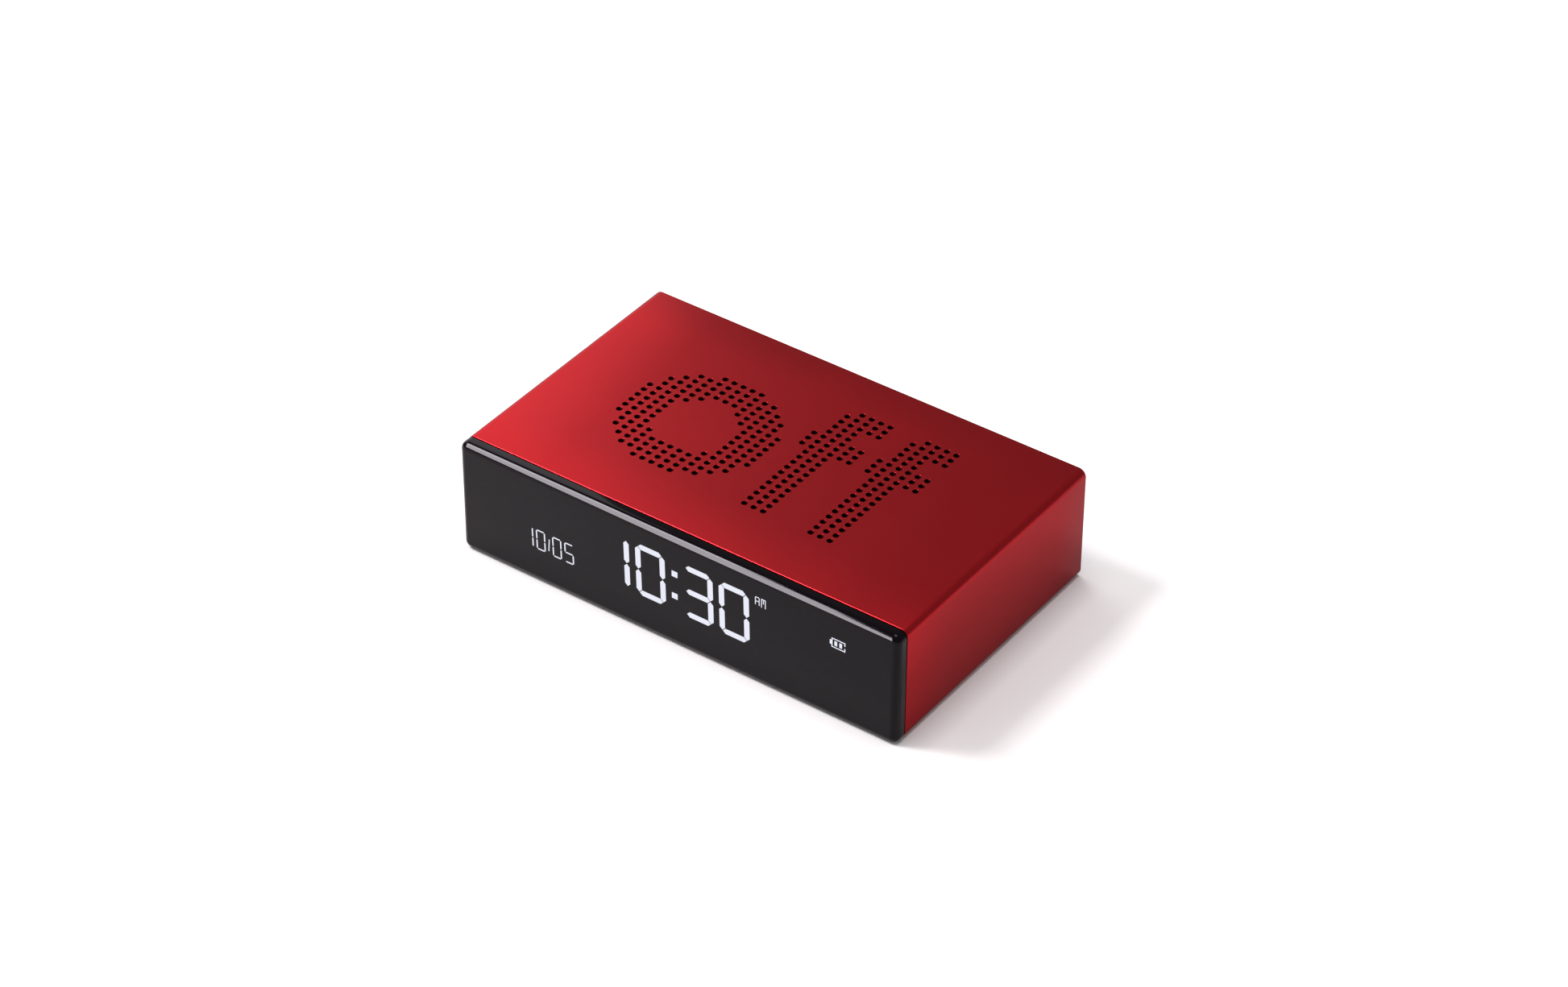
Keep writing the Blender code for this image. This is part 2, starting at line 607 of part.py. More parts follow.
def build_screws(steel):
    """The screws that hold the ends, the boards and the loudspeaker to the chassis."""
    for side, name in ((-1, "left"), (1, "right")):
        at = (side * POST_X, MID_Z)
        build_screw(f"screw_front_{name}", "Y", CHASSIS_FRONT_Y + POST_LENGTH, at,
                    POST_LENGTH + SEAT_GAP + SCREW_BITE, steel)
        build_screw(f"screw_rear_{name}", "Y", PANEL_OUTER_Y - SCREW_HEAD_HEIGHT, at,
                    PANEL_THICKNESS - SCREW_HEAD_HEIGHT + SEAT_GAP + SCREW_BITE, steel)
        ear = (SPEAKER_X + side * EAR_HOLE_X, 0)
        build_screw(f"screw_speaker_{name}", "Z", PLATE_TOP_Z + SOLDER_GAP + SPEAKER_FLANGE, ear,
                    SPEAKER_FLANGE + SCREW_BITE - SEAT_GAP, steel)
        board = BOARD_SCREWS[(side + 1) // 2]
        build_screw(f"screw_main_board_{name}", "Z", MAIN_BOARD_TOP_Z, board,
                    BOARD_THICKNESS + SCREW_BITE - THREAD_GAP - SOLDER_GAP - BOSS_HEIGHT / 2, steel)
        post = (KEY_BOARD_POSTS[(side + 1) // 2], MID_Z)
        build_screw(f"screw_key_board_{name}", "Y", KEY_BOARD_FRONT_Y, post,
                    BOARD_THICKNESS + SCREW_BITE, steel, out=-1)


# ======== display ========


def build_display(films, glass, clear, board, rubber, white, copper):
    """Touch film, liquid crystal panel, light guide, its two lamps, contact strip and board."""
    film_back = SLEEVE_FRONT_Y + FILM_THICKNESS
    plate("touch_film", PACK_WIDTH, PACK_HEIGHT, SMALLEST_CORNER, SLEEVE_FRONT_Y, film_back,
          (0, MID_Z), films)
    plate("lcd_panel", PACK_WIDTH, PACK_HEIGHT, SMALLEST_CORNER, LCD_FRONT_Y,
          LCD_FRONT_Y + LCD_THICKNESS, (0, MID_Z), glass)
    guide_back = GUIDE_FRONT_Y + GUIDE_THICKNESS
    guide_width = PACK_WIDTH - 2 * (LED_WIDTH + SEAT_GAP)
    guide_height = PACK_HEIGHT - ZEBRA_HEIGHT - SEAT_GAP
    guide_z = MID_Z + (ZEBRA_HEIGHT + SEAT_GAP) / 2
    plate("backlight_guide", guide_width, guide_height, SMALLEST_CORNER, GUIDE_FRONT_Y, guide_back,
          (0, guide_z), clear)
    for side, name in ((-1, "backlight_led_left"), (1, "backlight_led_right")):
        led_x = side * (PACK_WIDTH - LED_WIDTH) / 2
        plate(name, LED_WIDTH, LED_HEIGHT, LED_WIDTH / 8, GUIDE_FRONT_Y, guide_back, (led_x, guide_z), white)
    zebra_z = MID_Z - (PACK_HEIGHT - ZEBRA_HEIGHT) / 2
    plate("contact_strip", guide_width, ZEBRA_HEIGHT, SMALLEST_CORNER, GUIDE_FRONT_Y, guide_back,
          (0, zebra_z), rubber)
    plate("display_board", PACK_WIDTH, PACK_HEIGHT, SMALLEST_CORNER, DISPLAY_BOARD_FRONT_Y,
          DISPLAY_BOARD_FRONT_Y + DISPLAY_BOARD_THICKNESS, (0, MID_Z), board)
    ribbon_start = DISPLAY_BOARD_FRONT_Y + DISPLAY_BOARD_THICKNESS + SOLDER_GAP
    ribbon_end = MAIN_BOARD_Y - MAIN_BOARD_DEPTH / 2 + MAIN_BOARD_HOLE_INSET
    strip("display_ribbon", [(ribbon_start, RIBBON_Z), (ribbon_end, RIBBON_Z)], RIBBON_THICKNESS,
          RIBBON_WIDTH, MAIN_BOARD_X, copper)


# ======== chassis ========


def build_chassis(plastic):
    """The inner tray: a floor between two rails, posts for the end screws, bosses for the boards."""
    chassis = box("chassis_tray", (INSERT_WIDTH, PLATE_REAR_Y - CHASSIS_FRONT_Y, PLATE_THICKNESS),
                  PLATE_LOW_Z, (0, (PLATE_REAR_Y + CHASSIS_FRONT_Y) / 2), plastic)
    rails = bmesh.new()
    for side in (-1, 1):
        rail = rounded_rect(RAIL_THICKNESS, INSERT_HEIGHT, SMALLEST_CORNER, 1)
        rail_x = side * (INSERT_WIDTH - RAIL_THICKNESS) / 2
        add_prism(rails, rail, "Y", CHASSIS_FRONT_Y, CHASSIS_REAR_Y, (rail_x, MID_Z))
    fuse(chassis, add_object("rails", rails, None))
    posts = bmesh.new()
    for side in (-1, 1):
        for low, high in ((CHASSIS_FRONT_Y + SOLDER_GAP, CHASSIS_FRONT_Y + POST_LENGTH),
                          (CHASSIS_REAR_Y - POST_LENGTH, CHASSIS_REAR_Y - SOLDER_GAP)):
            post = rounded_rect(POST_SIZE, POST_SIZE, SMALLEST_CORNER, 1)
            add_prism(posts, post, "Y", low, high, (side * (POST_X + SOLDER_GAP), MID_Z))
    fuse(chassis, add_object("end_posts", posts, None))
    bosses = bmesh.new()
    for x, y in BOARD_RESTS:
        add_prism(bosses, circle(BOSS_RADIUS, 12), "Z", PLATE_TOP_Z - SEAT_GAP, PLATE_TOP_Z + BOSS_HEIGHT, (x, y))
    for side in (-1, 1):
        add_prism(bosses, circle(BOSS_RADIUS, 12), "Z", PLATE_LOW_Z - BOSS_HEIGHT, PLATE_LOW_Z + SEAT_GAP,
                  (SPEAKER_X + side * EAR_HOLE_X, 0))
    fuse(chassis, add_object("bosses", bosses, None))
    bm = bmesh.new()
    past = SEAT_GAP
    for side in (-1, 1):
        center = (side * POST_X, MID_Z)
        add_prism(bm, circle(SCREW_RADIUS + RUNNING_GAP, 12), "Y", CHASSIS_FRONT_Y - past,
                  CHASSIS_FRONT_Y + POST_LENGTH + past, center)
        add_prism(bm, circle(SCREW_RADIUS + THREAD_GAP, 12), "Y", CHASSIS_REAR_Y - POST_LENGTH - past,
                  CHASSIS_REAR_Y + past, center)
        add_prism(bm, circle(SCREW_RADIUS + THREAD_GAP, 12), "Z", PLATE_LOW_Z - BOSS_HEIGHT - past,
                  PLATE_TOP_Z + past, (SPEAKER_X + side * EAR_HOLE_X, 0))
    for x, y in BOARD_SCREWS:
        add_prism(bm, circle(SCREW_RADIUS + THREAD_GAP, 12), "Z", PLATE_LOW_Z - past,
                  PLATE_TOP_Z + BOSS_HEIGHT + past, (x, y))
    add_prism(bm, circle(SPEAKER_HOLE_RADIUS, 36), "Z", PLATE_LOW_Z - past, PLATE_TOP_Z + past, (SPEAKER_X, 0))
    slot = rounded_rect(LEAD_SLOT_WIDTH, LEAD_SLOT_DEPTH, SMALLEST_CORNER)
    add_prism(bm, slot, "Z", PLATE_LOW_Z - past, PLATE_TOP_Z + past, (LEAD_SLOT_X, LEAD_SLOT_Y))
    cut(chassis, add_object("chassis_openings", bm, None))
    return chassis


# ======== main board and battery ========


def build_main_board(board, chip, metal, core, nylon):
    """The main circuit board and what is soldered to it."""
    main = box("main_board", (MAIN_BOARD_WIDTH, MAIN_BOARD_DEPTH, BOARD_THICKNESS), MAIN_BOARD_LOW_Z,
               (MAIN_BOARD_X, MAIN_BOARD_Y), board)
    bm = bmesh.new()
    for x, y in BOARD_SCREWS:
        add_prism(bm, circle(SCREW_RADIUS + RUNNING_GAP, 12), "Z", MAIN_BOARD_LOW_Z - SEAT_GAP,
                  MAIN_BOARD_TOP_Z + SEAT_GAP, (x, y))
    cut(main, add_object("board_holes", bm, None))
    box("controller_chip", (CHIP_SIZE, CHIP_SIZE, CHIP_THICKNESS), PART_LOW_Z,
        (MAIN_BOARD_X, MAIN_BOARD_Y), chip)
    crystal_y = MAIN_BOARD_Y - CHIP_SIZE / 2 - CRYSTAL_DIAMETER
    crystal_z = PART_LOW_Z + CRYSTAL_DIAMETER / 2
    prism("timing_crystal", circle(CRYSTAL_DIAMETER / 2, 16), "X", MAIN_BOARD_X - CRYSTAL_LENGTH / 2,
          MAIN_BOARD_X + CRYSTAL_LENGTH / 2, (crystal_y, crystal_z), metal)
    inductor_x = MAIN_BOARD_X + CHIP_SIZE / 2 + INDUCTOR_DIAMETER
    rim = INDUCTOR_DIAMETER / 2
    waist = rim * INDUCTOR_WAIST_SHARE
    low, high = PART_LOW_Z, PART_LOW_Z + INDUCTOR_HEIGHT
    flange = INDUCTOR_HEIGHT * INDUCTOR_FLANGE_SHARE
    turned("power_inductor", [
        (0, low), (rim, low), (rim, low + flange), (waist, low + flange),
        (waist, high - flange), (rim, high - flange), (rim, high), (0, high),
    ], "Z", (inductor_x, MAIN_BOARD_Y), core, 20)
    build_socket("battery_socket", BATTERY_SOCKET_AT, 1, nylon)
    build_socket("speaker_socket", SPEAKER_SOCKET_AT, -1, nylon)


def build_socket(name, center, faces, nylon):
    """A two-way wire socket, open on the side that its leads come from: 1 is +Y and -1 is -Y."""
    socket = box(name, (SOCKET_WIDTH, SOCKET_DEPTH, SOCKET_HEIGHT), PART_LOW_Z, center, nylon)
    mouth = bmesh.new()
    wall = SEAT_GAP * 2
    inner = rounded_rect(SOCKET_WIDTH - 2 * wall, SOCKET_HEIGHT - 2 * wall, SMALLEST_CORNER, 1)
    level = center[1] + faces * SOCKET_DEPTH / 2
    low, high = sorted((level - faces * SOCKET_DEPTH * SOCKET_MOUTH_SHARE, level + faces * SEAT_GAP))
    add_prism(mouth, inner, "Y", low, high, (center[0], PART_LOW_Z + SOCKET_HEIGHT / 2))
    return cut(socket, add_object(f"{name}_mouth", mouth, None))


def build_tilt_switch(metal, plastic, steel):
    """The orientation switch: a ball drops to whichever end of its can is lower."""
    x, y = TILT_SWITCH_AT
    outer = TILT_CAN_DIAMETER / 2
    inner = outer - TILT_CAN_WALL
    low, high = PART_LOW_Z, PART_LOW_Z + TILT_CAN_HEIGHT
    base_rim = low + TILT_BASE_HEIGHT / 2
    turned("tilt_switch_can", [
        (0, high), (outer, high), (outer, base_rim + SOLDER_GAP), (inner, base_rim + SOLDER_GAP),
        (inner, high - TILT_CAN_WALL), (0, high - TILT_CAN_WALL),
    ], "Z", (x, y), metal, 20)
    turned("tilt_switch_base", [
        (0, low), (outer, low), (outer, base_rim), (inner - SOLDER_GAP, base_rim),
        (inner - SOLDER_GAP, low + TILT_BASE_HEIGHT), (0, low + TILT_BASE_HEIGHT),
    ], "Z", (x, y), plastic, 20)
    ball = bmesh.new()
    bmesh.ops.create_uvsphere(ball, u_segments=16, v_segments=10, radius=TILT_BALL_DIAMETER / 2)
    bmesh.ops.translate(ball, verts=ball.verts, vec=(x, y, TILT_BALL_REST_Z))
    shade_round(add_object("tilt_switch_ball", ball, steel))


def build_battery(pouch, foam, red, black):
    """The lithium pouch cell under the floor, its foam pad and its two leads up to the board."""
    bm = bmesh.new()
    outline = rounded_rect(BATTERY_WIDTH, BATTERY_DEPTH, 4 * SMALLEST_CORNER, 3)
    add_prism(bm, outline, "Z", BATTERY_LOW_Z, BATTERY_LOW_Z + BATTERY_THICKNESS, (BATTERY_X, BATTERY_Y))
    upright = [e for e in bm.edges if abs(e.verts[0].co.z - e.verts[1].co.z) < 1e-7]
    bmesh.ops.bevel(bm, geom=upright, offset=2 * SMALLEST_CORNER, segments=2, profile=0.5, affect="EDGES")
    shade_round(add_object("battery_cell", bm, pouch))
    box("battery_pad", (PAD_WIDTH, PAD_DEPTH, PAD_THICKNESS), PAD_LOW_Z, (BATTERY_X, BATTERY_Y), foam)
    start_y = BATTERY_Y + BATTERY_DEPTH / 2 + SOLDER_GAP
    start_z = BATTERY_LOW_Z + BATTERY_THICKNESS / 2
    end_y = BATTERY_SOCKET_AT[1] + SOCKET_DEPTH / 2 - SOCKET_DEPTH * LEAD_PLUGGED_SHARE
    end_z = PART_LOW_Z + SOCKET_HEIGHT / 2
    top_z = end_z + LEAD_DIAMETER
    for side, name, color in ((-1, "battery_lead_red", red), (1, "battery_lead_black", black)):
        x = LEAD_SLOT_X + side * LEAD_SPACING / 2
        lead(name, [
            (x, start_y, start_z), (x, (start_y + LEAD_SLOT_Y) / 2, start_z),
            (x, LEAD_SLOT_Y, PLATE_LOW_Z), (x, LEAD_SLOT_Y, PLATE_TOP_Z + BOSS_HEIGHT),
            (x, LEAD_SLOT_Y - SEAT_GAP, end_z), (x, BATTERY_SOCKET_AT[1] + SOCKET_DEPTH, top_z),
            (x, BATTERY_SOCKET_AT[1] + SOCKET_DEPTH / 2 + SEAT_GAP, end_z), (x, end_y, end_z),
        ], color)


# ======== speaker ========


def build_speaker(plastic, magnet, paper, red, black):
    """The loudspeaker: frame with two ears, magnet, and the cone that moves."""
    center = (SPEAKER_X, 0)
    seat = PLATE_TOP_Z + SOLDER_GAP
    basket_radius = SPEAKER_HOLE_RADIUS - RUNNING_GAP
    floor = seat - SPEAKER_BASKET_DEPTH
    frame = turned("speaker_frame", [
        (0, floor), (basket_radius, floor), (basket_radius, seat), (SPEAKER_RADIUS, seat),
        (SPEAKER_RADIUS, seat + SPEAKER_FLANGE), (basket_radius - SPEAKER_WALL, seat + SPEAKER_FLANGE),
        (basket_radius - SPEAKER_WALL, floor + SPEAKER_WALL), (0, floor + SPEAKER_WALL),
    ], "Z", center, plastic, 36)
    ears = bmesh.new()
    ear_length = SPEAKER_EAR_REACH + SPEAKER_RIM
    for side in (-1, 1):
        ear_x = SPEAKER_X + side * (SPEAKER_RADIUS + SPEAKER_EAR_REACH - ear_length / 2)
        ear = rounded_rect(ear_length, SPEAKER_EAR_WIDTH, SMALLEST_CORNER, 3)
        add_prism(ears, ear, "Z", seat + SOLDER_GAP, seat + SPEAKER_FLANGE - SOLDER_GAP, (ear_x, 0))
    fuse(frame, add_object("speaker_ears", ears, None))
    holes = bmesh.new()
    for side in (-1, 1):
        add_prism(holes, circle(SCREW_RADIUS + RUNNING_GAP, 12), "Z", seat - SEAT_GAP,
                  seat + SPEAKER_FLANGE + SEAT_GAP, (SPEAKER_X + side * EAR_HOLE_X, 0))
    cut(frame, add_object("speaker_holes", holes, None))
    half = MAGNET_DIAMETER / 2
    top = floor - SOLDER_GAP
    edge = SMALLEST_CORNER
    turned("speaker_magnet", [
        (0, top), (half - edge, top), (half, top - edge), (half, top - MAGNET_THICKNESS + edge),
        (half - edge, top - MAGNET_THICKNESS), (0, top - MAGNET_THICKNESS),
    ], "Z", center, magnet, 28)
    build_cone(center, seat, basket_radius - SPEAKER_WALL - RUNNING_GAP, floor + SPEAKER_WALL, paper)
    start_x = SPEAKER_X + SPEAKER_RADIUS * SPEAKER_TAG_X_SHARE
    start_y = -SPEAKER_RADIUS * SPEAKER_TAG_Y_SHARE
    mouth_y = SPEAKER_SOCKET_AT[1] - SOCKET_DEPTH / 2
    z = PART_LOW_Z + SOCKET_HEIGHT / 2
    for side, name, color in ((-1, "speaker_lead_red", red), (1, "speaker_lead_black", black)):
        shift = side * LEAD_SPACING / 2
        from_x = start_x + shift
        socket_x = SPEAKER_SOCKET_AT[0] - shift
        lead(name, [
            (from_x, start_y, seat + SPEAKER_FLANGE + LEAD_DIAMETER),
            (from_x, start_y - 2 * LEAD_DIAMETER + shift, z),
            ((from_x + socket_x) / 2, mouth_y - 3 * LEAD_DIAMETER + 1.5 * shift, z + LEAD_DIAMETER / 2),
            (socket_x, mouth_y - 2 * LEAD_DIAMETER + shift, z),
            (socket_x, mouth_y + SOCKET_DEPTH * LEAD_PLUGGED_SHARE, z),
        ], color)


def build_cone(center, seat, radius, floor, paper):
    """The cone with its rolled edge and dust cap, all one thin moving piece."""
    thick = CONE_THICKNESS
    low = floor + CONE_TRAVEL + SOLDER_GAP
    rim = seat + SPEAKER_FLANGE / 2
    upper = [(radius * share, low + rise * thick) for share, rise in zip(CONE_CAP_SHARES, CONE_CAP_RISE)]
    roll = (rim, rim + thick, rim + thick, rim)
    upper += [(radius * share, level) for share, level in zip(CONE_ROLL_SHARES, roll)]
    lower = [(r, z - thick) for r, z in reversed(upper)]
    turned("speaker_cone", upper + lower, "Z", center, paper, 32)


# ======== keys and port ========


def build_keys(key_plastic, switch_plastic, plunger_plastic):
    """Each key with the switch that it presses: the key's flange keeps it behind the panel."""
    cap = rounded_rect(KEY_WIDTH, KEY_HEIGHT, KEY_HEIGHT / 2 - ROUND_END_TRIM, 5)
    face = rounded_rect(KEY_WIDTH - 2 * KEY_EDGE, KEY_HEIGHT - 2 * KEY_EDGE,
                        KEY_HEIGHT / 2 - KEY_EDGE - ROUND_END_TRIM, 5)
    flange_width, flange_height = KEY_WIDTH + 2 * KEY_FLANGE_REACH, KEY_HEIGHT + 2 * KEY_FLANGE_REACH
    flange = rounded_rect(flange_width, flange_height, SMALLEST_CORNER, 5)
    stem = rounded_rect(KEY_STEM_SIZE, KEY_STEM_SIZE, SMALLEST_CORNER, 5)
    cap_top = PANEL_OUTER_Y + KEY_PROUD
    flange_back = KEY_FLANGE_Y - KEY_FLANGE_THICKNESS
    for name, x in zip(KEY_NAMES, KEY_X):
        center = (x, MID_Z)
        stack(f"key_{name}", [
            (stem, KEY_STEM_END_Y), (stem, flange_back), (flange, flange_back), (flange, KEY_FLANGE_Y),
            (cap, KEY_FLANGE_Y), (cap, cap_top - KEY_EDGE), (face, cap_top),
        ], "Y", center, key_plastic)
        body = plate(f"switch_{name}", SWITCH_SIZE, SWITCH_SIZE, SMALLEST_CORNER,
                     SWITCH_TOP_Y - SWITCH_THICKNESS, SWITCH_TOP_Y, center, switch_plastic)
        bore = prism(f"switch_bore_{name}", circle(PLUNGER_DIAMETER / 2 + RUNNING_GAP, 12), "Y",
                     SWITCH_TOP_Y - PLUNGER_SUNK - KEY_TRAVEL - RUNNING_GAP, SWITCH_TOP_Y + SEAT_GAP, center)
        cut(body, bore)
        shade_round(prism(f"plunger_{name}", circle(PLUNGER_DIAMETER / 2, 12), "Y",
                          SWITCH_TOP_Y - PLUNGER_SUNK, PLUNGER_TOP_Y, center, plunger_plastic))


def build_key_board(board):
    width = KEY_BOARD_RIGHT_X - KEY_BOARD_LEFT_X
    middle = (KEY_BOARD_RIGHT_X + KEY_BOARD_LEFT_X) / 2
    key_board = plate("key_board", width, KEY_BOARD_HEIGHT, SMALLEST_CORNER, KEY_BOARD_FRONT_Y,
                      KEY_BOARD_REAR_Y, (middle, MID_Z), board)
    bm = bmesh.new()
    for x in KEY_BOARD_POSTS:
        add_prism(bm, circle(SCREW_RADIUS + RUNNING_GAP, 12), "Y", KEY_BOARD_FRONT_Y - SEAT_GAP,
                  KEY_BOARD_REAR_Y + SEAT_GAP, (x, MID_Z))
    cut(key_board, add_object("key_board_holes", bm, None))


def build_port(steel, black):
    """The charging socket: a steel shell open to the back, and the tongue that carries its contacts."""
    low = KEY_BOARD_REAR_Y + SOLDER_GAP
    mouth = PANEL_OUTER_Y - PORT_SUNK
    outer = rounded_rect(PORT_WIDTH, PORT_HEIGHT, PORT_HEIGHT / 2 - ROUND_END_TRIM, 5)
    inner = rounded_rect(PORT_WIDTH - 2 * PORT_WALL, PORT_HEIGHT - 2 * PORT_WALL,
                         PORT_HEIGHT / 2 - PORT_WALL - ROUND_END_TRIM, 5)
    center = (PORT_X, MID_Z)
    stack("port_shell", [(outer, low), (outer, mouth), (inner, mouth), (inner, low + PORT_FLOOR)],
          "Y", center, steel)
    tongue = rounded_rect(TONGUE_WIDTH, TONGUE_THICKNESS, TONGUE_THICKNESS / 4, 1)
    prism("port_tongue", tongue, "Y", low + PORT_FLOOR + SOLDER_GAP, mouth - TONGUE_SUNK, center, black)


def build_board_ribbon(copper):
    """The flat cable from the main board to the key board, which it meets below its upper edge."""
    front = MAIN_BOARD_Y + MAIN_BOARD_DEPTH / 2 - MAIN_BOARD_HOLE_INSET
    back = KEY_BOARD_FRONT_Y - SOLDER_GAP
    strip("board_ribbon", [(front, RIBBON_Z), (back, RIBBON_Z)], RIBBON_THICKNESS, RIBBON_WIDTH,
          BOARD_RIBBON_X, copper)


# ======== places shared by pieces ========

RIBBON_Z = MAIN_BOARD_TOP_Z + SEAT_GAP + RIBBON_THICKNESS / 2
KEY_X = [KEY_ROW_SHIFT_X + (number - (len(KEY_NAMES) - 1) / 2) * KEY_PITCH for number in range(len(KEY_NAMES))]
KEY_POST_REACH = KEY_WIDTH / 2 + KEY_FLANGE_REACH + PANEL_POST_RADIUS + 2 * KEY_GAP
KEY_BOARD_POSTS = (KEY_X[0] - KEY_POST_REACH, KEY_X[-1] + KEY_POST_REACH)
PORT_X = KEY_BOARD_POSTS[1] + PANEL_POST_RADIUS + PORT_MARGIN + PORT_WIDTH / 2
KEY_BOARD_LEFT_X = KEY_BOARD_POSTS[0] - KEY_BOARD_MARGIN
KEY_BOARD_RIGHT_X = PORT_X + PORT_WIDTH / 2 + KEY_BOARD_MARGIN
BOARD_RESTS = [
    (MAIN_BOARD_X + sx * (MAIN_BOARD_WIDTH / 2 - MAIN_BOARD_HOLE_INSET),
     MAIN_BOARD_Y + sy * (MAIN_BOARD_DEPTH / 2 - MAIN_BOARD_HOLE_INSET))
    for sx in (-1, 1) for sy in (-1, 1)
]
BOARD_SCREWS = [BOARD_RESTS[0], BOARD_RESTS[-1]]
BOARD_RIBBON_X = KEY_BOARD_POSTS[1] - SCREW_HEAD_RADIUS - 2 * SEAT_GAP - RIBBON_WIDTH / 2
LEAD_SLOT_X = BOARD_RIBBON_X + (RIBBON_WIDTH + SOCKET_WIDTH) / 2 + SOCKET_RIBBON_GAP
BATTERY_SOCKET_AT = (LEAD_SLOT_X, MAIN_BOARD_Y + MAIN_BOARD_DEPTH / 2 - SOCKET_DEPTH)
SPEAKER_SOCKET_AT = (MAIN_BOARD_LEFT_X + SOCKET_WIDTH, MAIN_BOARD_Y - SOCKET_DEPTH)
TILT_SWITCH_AT = (MAIN_BOARD_X - CHIP_SIZE / 2 - TILT_CAN_DIAMETER, MAIN_BOARD_Y + SOCKET_DEPTH)
TILT_BALL_REST_Z = PART_LOW_Z + TILT_BASE_HEIGHT + SOLDER_GAP + TILT_BALL_DIAMETER / 2


def main():
    clear_scene()
    red_metal = finish("red_anodised_aluminium", (0.45, 0.01, 0.015), 0.35, 0.9)
    acrylic = finish("smoked_acrylic", (0.01, 0.01, 0.012), 0.05)
    black_plastic = finish("black_plastic", (0.02, 0.02, 0.022), 0.45)
    chassis_plastic = finish("chassis_plastic", (0.08, 0.08, 0.085), 0.5)
    cloth = finish("acoustic_cloth", (0.01, 0.01, 0.01), 0.95)
    film = finish("touch_film", (0.7, 0.72, 0.7), 0.1, alpha=0.4)
    glass = finish("display_glass", (0.03, 0.03, 0.035), 0.08)
    clear = finish("light_guide", (0.8, 0.82, 0.84), 0.15)
    rubber = finish("contact_rubber", (0.35, 0.33, 0.3), 0.8)
    white = finish("lamp_white", (0.85, 0.85, 0.8), 0.4)
    copper = finish("ribbon_copper", (0.55, 0.25, 0.06), 0.4, 0.3)
    board = finish("board_green", (0.01, 0.12, 0.04), 0.4)
    chip = finish("chip_black", (0.015, 0.015, 0.015), 0.6)
    nylon = finish("socket_nylon", (0.75, 0.72, 0.62), 0.5)
    core = finish("inductor_ferrite", (0.05, 0.05, 0.05), 0.7)
    steel = finish("plated_steel", (0.6, 0.6, 0.62), 0.3, 1.0)
    pouch = finish("battery_foil", (0.55, 0.56, 0.58), 0.35, 0.8)
    foam = finish("foam_tape", (0.05, 0.05, 0.05), 0.95)
    red_wire = finish("red_insulation", (0.5, 0.01, 0.01), 0.4)
    black_wire = finish("black_insulation", (0.01, 0.01, 0.01), 0.4)
    paper = finish("cone_paper", (0.03, 0.03, 0.03), 0.85)
    key_plastic = finish("key_plastic", (0.03, 0.03, 0.032), 0.5)
    build_sleeve(red_metal)
    build_grille_cloths(cloth)
    build_front_lens(acrylic)
    build_front_bezel(black_plastic)
    build_rear_panel(black_plastic)
    build_display(film, glass, clear, board, rubber, white, copper)
    build_chassis(chassis_plastic)
    build_main_board(board, chip, steel, core, nylon)
    build_tilt_switch(steel, black_plastic, steel)
    build_battery(pouch, foam, red_wire, black_wire)
    build_speaker(black_plastic, steel, paper, red_wire, black_wire)
    build_keys(key_plastic, black_plastic, white)
    build_key_board(board)
    build_port(steel, black_plastic)
    build_board_ribbon(copper)
    build_screws(steel)


main()
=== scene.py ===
"""A flip-over travel alarm clock: fine shapes, finishes and a soft studio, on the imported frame."""

import json
import math

import bmesh
import bpy
from bpy.props import FloatProperty, FloatVectorProperty, IntProperty, PointerProperty, StringProperty
from mathutils import Matrix, Vector


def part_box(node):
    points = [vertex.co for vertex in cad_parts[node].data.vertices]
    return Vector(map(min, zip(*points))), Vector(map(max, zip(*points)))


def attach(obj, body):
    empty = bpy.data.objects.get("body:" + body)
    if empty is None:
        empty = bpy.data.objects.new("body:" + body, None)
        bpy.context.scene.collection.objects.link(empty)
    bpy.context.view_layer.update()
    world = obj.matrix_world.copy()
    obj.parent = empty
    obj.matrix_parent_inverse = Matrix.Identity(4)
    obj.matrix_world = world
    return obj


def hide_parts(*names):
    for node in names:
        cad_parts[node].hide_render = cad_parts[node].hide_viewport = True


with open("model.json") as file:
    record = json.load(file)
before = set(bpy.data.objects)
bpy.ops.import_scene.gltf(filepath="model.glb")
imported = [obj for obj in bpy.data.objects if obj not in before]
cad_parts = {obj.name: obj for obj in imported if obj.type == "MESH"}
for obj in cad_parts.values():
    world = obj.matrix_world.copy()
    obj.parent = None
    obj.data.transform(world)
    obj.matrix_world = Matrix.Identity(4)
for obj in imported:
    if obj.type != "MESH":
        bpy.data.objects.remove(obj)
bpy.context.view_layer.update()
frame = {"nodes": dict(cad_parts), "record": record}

bl_info = {
    "name": "Travel alarm clock",
    "version": (1, 0, 0),
    "blender": (4, 5, 0),
    "location": "3D View > Sidebar > Clock",
    "description": "Builds the clock's fine pieces, their finishes and a studio",
    "category": "Object",
}

MM = 0.001
KEYS = ("time", "alarm", "minus", "plus")

# ---- stage: the camera's place, its axes and its lens, and the lights' places, in metres ----
CAMERA_AT = (0.473374, -0.661605, 0.642136)
CAMERA_FORWARD = Vector((-0.45975139, 0.64749234, -0.60776832))
CAMERA_RIGHT = Vector((0.81284938, 0.58244673, 0.00562907))
CAMERA_LENS_MM, SENSOR_WIDTH_MM = 103.586, 36.0
CLIP_NEAR, CLIP_FAR = 0.01, 20.0
KEY_LIGHT_AT = (-0.66, -0.34, 1.05)
STRIP_LIGHT_AT = (-0.55, -0.89, 0.56)
LEFT_CARD_AT = (-0.50, 0.22, 0.25)
TOP_LIGHT_AT = (0, 0, 2.0)
LIGHT_UP = Vector((0, 0.8, 0.6))  # the line that the lights' heights follow
FLOOR_REACH, FLOOR_GAP = 3.0, 2e-5

